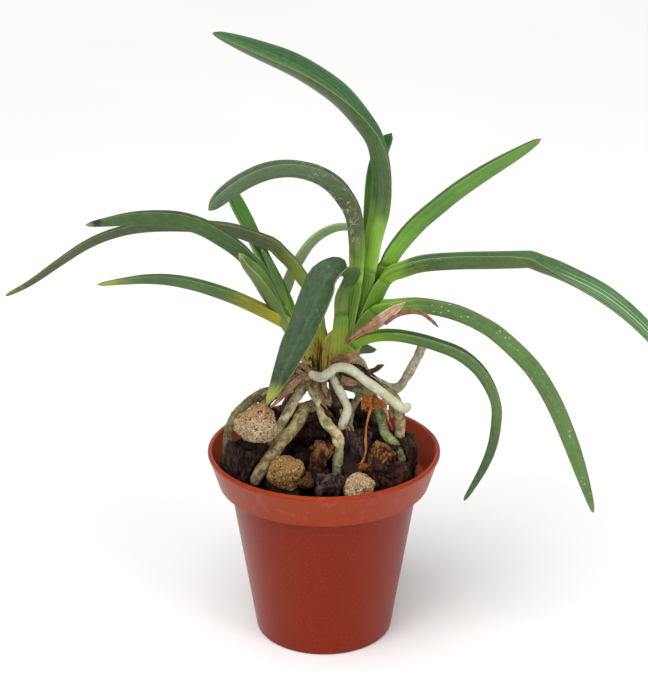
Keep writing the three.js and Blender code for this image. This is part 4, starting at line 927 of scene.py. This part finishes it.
# Bundles of loose dry strips: how many lie from one place to another, how wide, which tints, how far apart.
STRAWS = [
    {
        "from": [-3.9, -3, 68.9], "to": [-12.3, -10, 62.8], "count": 9, "arm": 0.75, "tints": [0.3, 0.95],
        "scatter": 1.1,
    },
    {"from": [-5.1, -4, 67.8], "to": [-14.2, -9, 63.9], "count": 5, "arm": 0.5, "tints": [0.1, 0.6], "scatter": 1.3},
    {"from": [-6, -3.4, 69.5], "to": [0.5, -5, 64.2], "count": 7, "arm": 0.7, "tints": [0.05, 0.75], "scatter": 1},
    {"from": [-1.4, -5, 67.7], "to": [1.6, -8, 60.5], "count": 5, "arm": 0.6, "tints": [0.3, 0.9], "scatter": 0.9},
    {
        "from": [2.8, -3.6, 66.6], "to": [8.5, -4.4, 65.2], "count": 5, "arm": 0.8, "tints": [0.55, 0.85],
        "scatter": 0.9,
    },
    {"from": [3.7, -3.2, 64.7], "to": [8.8, -4, 64.8], "count": 2, "arm": 0.3, "tints": [0.95, 1], "scatter": 0.4},
    {"from": [6.5, -3, 70.3], "to": [14.9, -1, 62.5], "count": 3, "arm": 0.28, "tints": [0, 0.35], "scatter": 0.7},
    {"from": [14.3, -7, 60.5], "to": [15.7, -8, 55.4], "count": 4, "arm": 0.3, "tints": [0.7, 0.95], "scatter": 1.4},
    {"from": [12.6, -1, 63.5], "to": [15.9, 0.6, 60.8], "count": 4, "arm": 0.55, "tints": [0.5, 0.9], "scatter": 0.8},
    {"from": [4.6, -5, 59.2], "to": [6.5, -8, 52.9], "count": 4, "arm": 0.35, "tints": [0.4, 0.9], "scatter": 1.2},
    {"from": [-0.5, -11, 62.5], "to": [3.2, -11.5, 58], "count": 3, "arm": 0.3, "tints": [0.05, 0.4], "scatter": 0.8},
    {"from": [-3, 7, 65], "to": [-9, 12, 58], "count": 6, "arm": 0.6, "tints": [0.1, 0.9], "scatter": 1.6},
    {"from": [4, 6, 65.5], "to": [9, 11, 60], "count": 6, "arm": 0.6, "tints": [0.1, 0.9], "scatter": 1.6},
]
YOUNG_LEAVES = ["leaf_rising", "leaf_inner", "leaf_left_upright", "leaf_left_sliver"]
YOUNG_ROOTS = ["root_young_long", "root_young_short"]


def heap_height(x, y):
    mound = HEAP["top"] - HEAP["fall"] * (x * x + y * y) + HEAP["frontTilt"] * min(y, 0)
    return mound - HEAP["rightTilt"] * max(x - HEAP["rightEdge"], 0)


def make_pot():
    """A tapered cup with a deep flared band, a rounded lip and drain holes."""
    height, wall, floor, base = POT["height"], POT["wall"], POT["floor"], POT["baseRadius"]
    rim, foot, shoulder = POT["rimRadius"], POT["bandFootRadius"], POT["shoulderRadius"]
    ledge = height - POT["bandHeight"]
    profile = [
        (base - 0.7, 0), (base - 0.3, 0.1), (base - 0.07, 0.35), (base, 0.7), (shoulder - 0.05, ledge - 0.5),
        (shoulder + 0.08, ledge - 0.15), (shoulder + 0.35, ledge), (foot - 0.35, ledge), (foot - 0.1, ledge + 0.08),
        (foot, ledge + 0.3), (rim - 0.3, height - POT["lip"] - 0.05), (rim - 0.2, height - POT["lip"] * 0.95),
        (rim, height - POT["lip"] * 0.7), (rim, height - 0.4), (rim - 0.1, height - 0.15), (rim - 0.35, height),
        (rim - wall + 0.15, height), (rim - wall - 0.05, height - 0.1), (rim - wall - 0.2, height - 0.4),
        (foot - wall, ledge + wall + 0.35), (foot - wall - 0.2, ledge + wall + 0.08),
        (foot - wall - 0.6, ledge + wall), (shoulder - wall + 0.2, ledge + wall),
        (shoulder - wall, ledge + wall - 0.25), (base - wall + 0.1, floor + 0.8),
        (base - wall - 0.2, floor + 0.2), (base - wall - 0.8, floor),
    ]
    bm = bmesh.new()
    corners = [bm.verts.new((r * MM, 0, z * MM)) for r, z in profile]
    edges = [bm.edges.new(pair) for pair in zip(corners, corners[1:])]
    bmesh.ops.spin(
        bm, geom=corners + edges, cent=(0, 0, 0), axis=(0, 0, 1), angle=2 * math.pi,
        steps=POT["facets"], use_merge=True,
    )
    bmesh.ops.remove_doubles(bm, verts=bm.verts, dist=1e-7)
    open_edges = [edge for edge in bm.edges if edge.is_boundary]
    rings = [[e for e in open_edges if max(abs(v.co.z - z * MM) for v in e.verts) < 1e-6] for z in (0, floor)]
    holes = []
    for level, ring in zip((0, floor), rings):
        for index in range(DRAIN["holes"]):
            around = (index + 0.5) / DRAIN["holes"] * 2 * math.pi
            made = bmesh.ops.create_circle(bm, segments=DRAIN["facets"], radius=DRAIN["radius"] * MM)["verts"]
            place = (DRAIN["ring"] * math.cos(around) * MM, DRAIN["ring"] * math.sin(around) * MM, level * MM)
            bmesh.ops.translate(bm, verts=made, vec=place)
            circle = list(dict.fromkeys(e for v in made for e in v.link_edges))
            holes.append(circle)
            ring += circle
        bmesh.ops.triangle_fill(bm, edges=ring, use_beauty=True)
    for low, high in zip(holes[: DRAIN["holes"]], holes[DRAIN["holes"] :]):
        bmesh.ops.bridge_loops(bm, edges=low + high)
    # Marks the inside of the cup, which the finish paints as a lighter copy of the plastic, as painted light.
    inner_wall_painted_light = bm.verts.layers.float.new("inner_wall_painted_light")
    for corner in bm.verts:
        up, out = corner.co.z / MM, math.hypot(corner.co.x, corner.co.y) / MM
        band = mix(foot, rim, (up - ledge) / POT["bandHeight"])
        outside = band if up > ledge + wall else mix(base, shoulder, clamp(up / ledge))
        corner[inner_wall_painted_light] = 1.0 if out < outside - 0.5 * wall and up > 0.5 * floor else 0.0
    cup = piece("pot_moulded", bm, pot_finish(), "pot_plastic", "pot")
    split = cup.modifiers.new("crisp_floor", "EDGE_SPLIT")
    split.split_angle = math.radians(50)


def make_heap():
    """The heap of potting bark, roughened where it is open to the air, with loose crumbs on it."""
    bm = skin_over("potting_bark", HEAP_FINENESS)

    def depth(at, normal):
        ridge = noise.fractal(at * 0.5, 0.8, 2.1, 4)
        if math.hypot(at.x, at.y) > 22.5 or at.z < 30:
            return -0.1 * abs(ridge)
        return 0.5 * ridge

    push_out(bm, depth)
    # How far each corner stands clear of the gaps, where the finish paints shade nearly black.
    clear_of_gap_shade = bm.verts.layers.float.new("clear_of_gap_shade")
    for corner in bm.verts:
        x, y, z = corner.co / MM
        corner[clear_of_gap_shade] = clamp((z - heap_height(x, y) + 2.2) / 2.4)
    piece("potting_heap", bm, heap_finish(), "potting_mix", "potting_bark")

    chance = random.Random(SEED)
    bm = bmesh.new()
    tint = bm.verts.layers.float.new("tint")
    for _ in range(CRUMBS):
        around, out = chance.uniform(0, 2 * math.pi), CRUMBS_REACH * math.sqrt(chance.random())
        x, y = out * math.cos(around), out * math.sin(around)
        long = chance.uniform(0.9, 3.6)
        size = [long, long * chance.uniform(0.35, 0.8), long * chance.uniform(0.25, 0.6)]
        turn = [chance.uniform(-0.6, 0.6), chance.uniform(-0.6, 0.6), chance.uniform(0, 3)]
        lift = chance.uniform(-2.2, -0.6)
        shade_of_it = chance.random()
        for corner in chunk(bm, (x, y, heap_height(x, y) + lift), size, turn, chance):
            corner[tint] = shade_of_it
    for at, size, shade_of_it in WEDGED_CHIPS:
        for corner in chunk(bm, at, size, [0.15, 0.1, at[0]], chance, cuts=2):
            corner[tint] = shade_of_it
    stops = [(0.0, "#0b0808"), (0.45, "#221612"), (0.75, "#3d241a"), (0.92, "#6a3f26"), (1.0, "#8f6f4c")]
    piece("crumbs_of_bark", bm, tinted_finish("crumbs_of_bark", stops, 0.5), "potting_mix", smooth=False)


def splintered(turn, seed):
    """The relief of split bark: plates of unequal height along its grain, parted by cracks."""
    tilt = Euler(turn).to_matrix().transposed()

    def depth(at, normal):
        own = tilt @ at
        own.z *= 0.35
        own += Vector((seed, 0, 0))
        far, near = noise.voronoi(own * 0.5 + 0.5 * noise.noise_vector(own * 0.7))
        plate = noise.noise(near[0] * 3.1)
        split = clamp(1 - (far[1] - far[0]) / 0.22)
        return 0.3 * noise.fractal(own * 0.8, 0.7, 2.1, 5) + 0.75 * plate - 0.45 * split

    return depth


def make_bark():
    looks = {
        "dark": bark_finish("dark_bark", "#150e0e", "#38261f", "#5c4032", 0.5),
        "reddish": bark_finish("reddish_bark", "#140b0a", "#361f18", "#663a28", 0.6),
        "purplish": bark_finish("purplish_bark", "#1e1616", "#443333", "#6e5450", 0.6),
        "tan": bark_finish("tan_bark", "#2a1810", "#6f4328", "#a87848", 0.6),
        "orange": bark_finish("orange_bark", "#34190f", "#7d4a2a", "#b07c48", 0.65),
    }
    chosen = {
        "bark_left": "dark", "bark_behind": "reddish", "bark_split": "tan", "bark_front": "purplish",
        "bark_middle": "purplish", "bark_orange": "orange", "bark_right": "reddish", "bark_far_right": "dark",
        "bark_back": "dark", "bark_back_left": "reddish",
    }
    for node, each in BARK.items():
        bm = skin_over(node, BARK_FINENESS)
        push_out(bm, splintered(each["turn"], each["seed"]))
        piece(node + "_splintered", bm, looks[chosen[node]], "bark", node)


def make_pumice():
    looks = {
        "pumice_large": stone_finish(
            "cream_pumice", "#d3bd98", "#ad8a5c", "#3d2a1a", 0.4, (0.0605, 0.063, "#bd8344")
        ),
        "pumice_front": stone_finish("golden_pumice", "#bc9660", "#946a3e", "#2c1c10", 0.6),
        "pumice_chip": stone_finish("brown_pumice", "#6f5034", "#523824", "#241811", 0.6),
        "pumice_right": stone_finish("tan_pumice", "#e0c59e", "#bd9462", "#3d2a1a", 0.4),
    }
    looks["pumice_back"] = looks["pumice_right"]
    for node, seed in STONES.items():
        bm = skin_over(node, PUMICE_FINENESS)

        def depth(at, normal):
            lumps = noise.fractal(at * 0.28 + Vector((seed, seed, 0)), 0.8, 2.0, 4)
            bent = at + 0.5 * noise.noise_vector(at * 1.1)
            cell = noise.voronoi(bent * 0.85 + Vector((0, seed, 0)))[0]
            small = noise.voronoi(bent * 1.9 + Vector((0, 0, seed)))[0]
            return 0.6 * lumps - 0.55 * clamp(1 - cell[0] / 0.4) ** 0.7 - 0.22 * clamp(1 - small[0] / 0.42)

        push_out(bm, depth)
        piece(node + "_pitted", bm, looks[node], "pumice", node)


def make_stems():
    """Each fan's short stem with its clasping sheaths, and dark fibres of old sheaths at the foot."""
    finish = sheath_finish("sheaths")
    fibre = Finish("old_fibres", Specular_IOR_Level=0.25)
    shade_of_it = fibre.blend(fibre.cloud(0.8, 3), "#241812", "#5a3f2a")
    fibre.done(shade_of_it, fibre.spread(fibre.cloud(0.5), 0, 1, 0.6, 0.85), fibre.bump(fibre.cloud(0.3), 0.1))
    chance = random.Random(SEED + 1)
    for side, leaves, stem in (("right", RIGHT_LEAVES, RIGHT_STEM), ("left", LEFT_LEAVES, LEFT_STEM)):
        bm = skin()
        for name, leaf in leaves.items():
            if name in SHEATH_OF:
                ribbon = Fold(leaf, SHEATH_OF[name])
                ribbon.skin(bm, 0, ribbon.joint)
        cord(bm, **stem)
        node = side + "_stem_and_sheaths"
        piece(node + "_folded", bm, finish, "sheath", node)
        bm = skin()
        foot = Vector(stem["spine"][0])
        for _ in range(FIBRES_PER_STEM):
            around = chance.uniform(0, 2 * math.pi)
            reach = stem["radius"] * chance.uniform(0.85, 1.1)
            out = Vector((math.cos(around), math.sin(around), 0))
            start = foot + out * reach + Vector((0, 0, chance.uniform(-0.5, 2.5)))
            rise = chance.uniform(3, 8)
            drift = Vector((chance.uniform(-0.8, 0.8), chance.uniform(-0.8, 0.8), rise))
            end = start + drift + (Vector(stem["spine"][1]) - foot) * (rise / 9) * 0.5
            middle = (start + end) / 2 + out * chance.uniform(0, 0.5)
            cord(bm, [start, middle, end], chance.uniform(0.07, 0.16), sides=5, step=1.2)
        piece(side + "_old_fibres", bm, fibre.material, "dry_tissue")


LEAF_LOOKS = {
    "leaf_front_bent": dict(
        outer="#3d5a2b", inner="#375434", foot="#68862a", tip="#8a983a", foot_end=0.14, tip_start=0.88,
        specks=0.3, far=(0.55, 0.9, "#29411f"), crease=0,
    ),
    "leaf_arching": dict(
        outer="#43562b", inner="#34502a", foot="#86b03a", tip="#6a7c4a", foot_end=0.19, scars=(0.12, 0.54),
        # far: the grey-green over its upper part is a painted reflection of the pale room.
        brown=0.2, far=(0.3, 0.5, "#566e50"),
    ),
    "leaf_tall": dict(
        outer="#446130", inner="#427044", foot="#86b23e", tip="#4f7044", foot_end=0.27, under="#638748",
    ),
    "leaf_inner": dict(
        outer="#558530", inner="#5d8e36", foot="#7aa83a", tip="#2c5a2a", foot_end=0.3, tip_start=0.85,
        far=(0.5, 0.75, "#356428"),
    ),
    "leaf_rising": dict(
        outer="#598a2e", inner="#4f7c34", foot="#74a436", tip="#a06a3c", foot_end=0.35, tip_start=0.985,
    ),
    "leaf_kinked": dict(
        outer="#4a682f", inner="#456e3b", foot="#88b424", tip="#7d9055", foot_end=0.17, specks=0.2,
        lines=(0.4, 0.47), far=(0.43, 0.5, "#4f7a47"),
    ),
    "leaf_long": dict(
        outer="#547638", inner="#456a36", foot="#7aa632", tip="#5d7d3c", foot_end=0.16, specks=0.85, brown=0.06,
    ),
    "leaf_hooked": dict(
        outer="#57753f", inner="#33522c", foot="#78a22a", tip="#4d6638", foot_end=0.2, specks=0.2,
        far=(0.5, 0.85, "#3a5834"),
    ),
    "leaf_small_back": dict(outer="#46692c", inner="#3a5c30", foot="#64822a"),
    "leaf_left_broad": dict(
        outer="#3b5d25", inner="#34522a", foot="#5f7a2a", tip="#8a9a4c", foot_end=0.2, tip_start=0.985,
        spot=(0.93, 0.035, 1.0),
    ),
    "leaf_left_long": dict(
        outer="#4d5b33", inner="#465c30", foot="#7a8a38", tip="#84964a", foot_end=0.22, brown=0.25,
    ),
    "leaf_left_short": dict(
        outer="#66803a", inner="#6f8f3e", foot="#84963a", tip="#a39a58", foot_end=0.3, tip_start=0.985,
        brown=0.2, rim="#c3c28c",
    ),
    "leaf_left_upright": dict(outer="#539030", inner="#4f8630", foot="#7aa63a", foot_end=0.3),
    "leaf_left_sliver": dict(outer="#558530", inner="#68983e", foot="#97b64e", foot_end=0.5, rim="#cbd48c"),
    "leaf_left_low": dict(
        outer="#45682b", inner="#466a2c", foot="#a89f2a", tip="#8a9c42", foot_end=0.42, tip_start=0.78,
        brown=0.15, far=(0.35, 0.6, "#46683a"),
    ),
    # Painted light: this leaf is painted much paler all over than the others, to make up for the shade it lies in.
    "leaf_left_back_arch": dict(outer="#a6c088", inner="#b0ca92", foot="#9cb85a", tip="#9cb072", foot_end=0.2),
}


def make_leaves():
    for name, leaf in {**RIGHT_LEAVES, **LEFT_LEAVES}.items():
        bm = skin()
        sheath = SHEATH_OF.get(name)
        ribbon = Fold(leaf, sheath)
        ribbon.skin(bm, ribbon.joint, sunk=0 if sheath else leaf.get("sunk", SUNK_FOOT))
        slot = "young_leaf" if name in YOUNG_LEAVES else "leaf"
        piece(name + "_blade", bm, leaf_finish(name, **LEAF_LOOKS[name]), slot, name)


OLD_ROOT = dict(light="#a8946a", dark="#5f4c30", green="#6f7644")
ROOT_LOOKS = {
    "root_young_long": dict(
        light="#d6d5bb", dark="#a6ac8a", green="#a3b37c", greening=0.4, dirt=0.08, smooth=0.55,
    ),
    "root_young_short": dict(
        light="#dedac0", dark="#b3b490", green="#a3b07c", greening=0.3, dirt=0.12, smooth=0.5,
    ),
    "root_front": dict(light="#dacb9c", dark="#96855a", green="#8e9a54", greening=0.5, dirt=0.4),
    "root_front_left": dict(light="#c9b27e", dark="#806742", green="#8c8c50", greening=0.35, dirt=0.5),
    "root_left_inner": dict(light="#e2d5ac", dark="#a59468", green="#a0a468", greening=0.3, dirt=0.35),
    # Painted shade: root_left's light and dark colours are darker than the other roots', standing in for the shadow
    # on it.
    "root_left": dict(light="#948458", dark="#4c4026", green="#666e38", greening=0.6, dirt=0.7),
    "root_right_inner": dict(light="#c9bf9c", dark="#8a7f5c", green="#868c58", greening=0.3, dirt=0.35),
    "root_right_green": dict(light="#989c6c", dark="#636e3e", green="#728344", greening=0.7, dirt=0.5),
    "root_right_thick": dict(light="#bda87c", dark="#74603c", green="#7a8048", greening=0.4, dirt=0.5),
    "root_aerial": dict(light="#dcd3b6", dark="#aaa17c", green="#a3a878", greening=0.3, dirt=0.2, smooth=0.2),
}


def make_roots():
    for name, each in ROOTS.items():
        bm = skin()
        cord(bm, **each, wrinkles=0.05 if name in YOUNG_ROOTS else 0.22, oval=0.04)
        look = root_finish(name, **ROOT_LOOKS.get(name, OLD_ROOT))
        piece(name + "_wrinkled", bm, look, "young_root" if name in YOUNG_ROOTS else "root", name)


def make_straws():
    """Loose strips of dry sheath, caught among the roots and round the stems' feet."""
    chance = random.Random(SEED + 3)
    bm = skin()
    tint = bm.verts.layers.float.new("tint")
    for bundle in STRAWS:
        start, end = Vector(bundle["from"]), Vector(bundle["to"])
        for _ in range(bundle["count"]):
            aside = Vector([chance.gauss(0, 0.5) for _ in range(3)]) * bundle["scatter"]
            off = [aside + Vector([chance.gauss(0, 0.22) for _ in range(3)]) for _ in range(4)]
            low, high = chance.uniform(-0.1, 0.35), chance.uniform(0.65, 1.05)
            spine = [start.lerp(end, mix(low, high, step / 3)) + off[step] for step in range(4)]
            face = [[chance.uniform(-0.6, 0.6), -1, chance.uniform(-0.3, 0.9)] for _ in range(2)]
            arm = bundle["arm"] * chance.uniform(0.6, 1.2)
            strip = {
                "spine": [list(at) for at in spine], "face": face,
                "arms": [arm, arm * 1.2, arm * 0.6], "open": [40, 65, 50],
                "taper": 3, "keel": 0.22, "edge": 0.16, "around": 14,
            }
            before = len(bm.verts)
            Fold(strip).skin(bm, wave=0.2, ragged=0.2)
            bm.verts.ensure_lookup_table()
            shade_of_it = chance.uniform(*bundle["tints"])
            for corner in bm.verts[before:]:
                corner[tint] = shade_of_it
    stops = [(0.0, "#2a1c12"), (0.3, "#64492f"), (0.6, "#9c7a5a"), (0.85, "#bf9f7c"), (1.0, "#d6b69a")]
    piece("loose_straws", bm, tinted_finish("loose_straws", stops, 0.4), "dry_tissue")


def make_litter():
    papers = {
        "dry_sheath_right": straw_finish("pink_straw", "#d8a280", "#9c664c", "#f4e6d4"),
        "dry_stalk": straw_finish("brown_straw", "#b4785a", "#6a4030", "#8a6656"),
        "dry_sheath_low": straw_finish("rust_straw", "#b07e60", "#644030", "#cba88a"),
        "dry_sheath_foot": straw_finish("red_straw", "#bd846a", "#80503e", "#d8b49a"),
        "dry_sheath_left": straw_finish("pale_straw", "#94744f", "#47342a", "#7d6048"),
    }
    for name, each in DRY.items():
        bm = skin()
        Fold(dict(each, keel=0.45, edge=0.25)).skin(bm, wave=0.3, ragged=0.12)
        piece(name + "_papery", bm, papers.get(name, papers["dry_sheath_left"]), "dry_tissue", name)

    rust = Finish("bare_core", Specular_IOR_Level=0.25)
    colour = rust.blend(rust.cloud(1.4, 4), "#c46f2a", "#8a4c20")
    colour = rust.blend(rust.sum("MULTIPLY", rust.cloud(0.4, 2), 0.4), colour, "#c98a4a")
    rust.done(colour, rust.spread(rust.cloud(0.5), 0, 1, 0.65, 0.85), rust.bump(rust.cloud(0.25), 0.1))
    chance = random.Random(SEED + 2)
    bm = skin()
    cord(bm, **BARE_CORE, sides=10, step=0.3, knots=0.16, wrinkles=0.6)
    for tuft in CORE_TUFTS:
        for _ in range(THREADS_PER_TUFT):
            aim = Vector([chance.gauss(0, 1) for _ in range(3)]).normalized()
            reach = Vector([a * r for a, r in zip(aim, tuft["radii"])]) * chance.uniform(0.6, 1.5)
            start = Vector(tuft["at"]) + Vector([chance.uniform(-0.4, 0.4) * r for r in tuft["radii"]])
            bend = Vector([chance.uniform(-0.5, 0.5) for _ in range(3)])
            thread = [start, start + reach * 0.5 + bend, Vector(tuft["at"]) + reach]
            cord(bm, thread, chance.uniform(0.05, 0.12), sides=5, step=0.6)
    piece("bare_core_frayed", bm, rust.material, "bare_root_core", "bare_root_core")


make_pot()
make_heap()
make_bark()
make_pumice()
make_stems()
make_leaves()
make_roots()
make_litter()
make_straws()

# The floor, the lights and the camera.
bm = bmesh.new()
bmesh.ops.create_grid(bm, x_segments=1, y_segments=1, size=FLOOR_REACH)
floor_mesh = bpy.data.meshes.new("floor")
bm.to_mesh(floor_mesh)
bm.free()
floor = bpy.data.objects.new("floor", floor_mesh)
bpy.context.scene.collection.objects.link(floor)
paint = Finish("pale_floor")
soft = paint.cloud(300, 2)
paint.done(paint.blend(soft, "#f4f4f3", "#f7f7f6"), paint.spread(soft, 0, 1, 0.8, 0.85), paint.bump(soft, 0.01))
floor_mesh.materials.append(paint.material)

world = bpy.data.worlds.new("pale_room")
world.use_nodes = True
world.node_tree.nodes["Background"].inputs["Color"].default_value = (1, 1, 1, 1)
world.node_tree.nodes["Background"].inputs["Strength"].default_value = ROOM_BRIGHTNESS
bpy.context.scene.world = world
bpy.context.scene.view_settings.view_transform = "Standard"


def softbox(name, place, target, size, power):
    light = bpy.data.lights.new(name, "AREA")
    light.shape, light.size, light.energy = "SQUARE", size, power
    lamp = bpy.data.objects.new(name, light)
    lamp.location = place
    lamp.rotation_euler = (Vector(target) - Vector(place)).to_track_quat("-Z", "Y").to_euler()
    bpy.context.scene.collection.objects.link(lamp)


for name, box in SOFTBOXES.items():
    softbox(name, **box)
ceiling = bpy.data.lights.new("ceiling", "SUN")
ceiling.energy, ceiling.angle = SUN["strength"], math.radians(SUN["spread"])
lamp = bpy.data.objects.new("ceiling", ceiling)
lamp.rotation_euler = [math.radians(turn) for turn in SUN["tilt"]]
bpy.context.scene.collection.objects.link(lamp)

eye = bpy.data.cameras.new("eye")
eye.lens, eye.sensor_width, eye.clip_start = EYE["lens"], EYE["sensor"], 0.01
camera = bpy.data.objects.new("eye", eye)
camera.location = EYE["place"]
camera.rotation_euler = (math.radians(EYE["tilt"]), 0, 0)
bpy.context.scene.collection.objects.link(camera)
bpy.context.scene.camera = camera
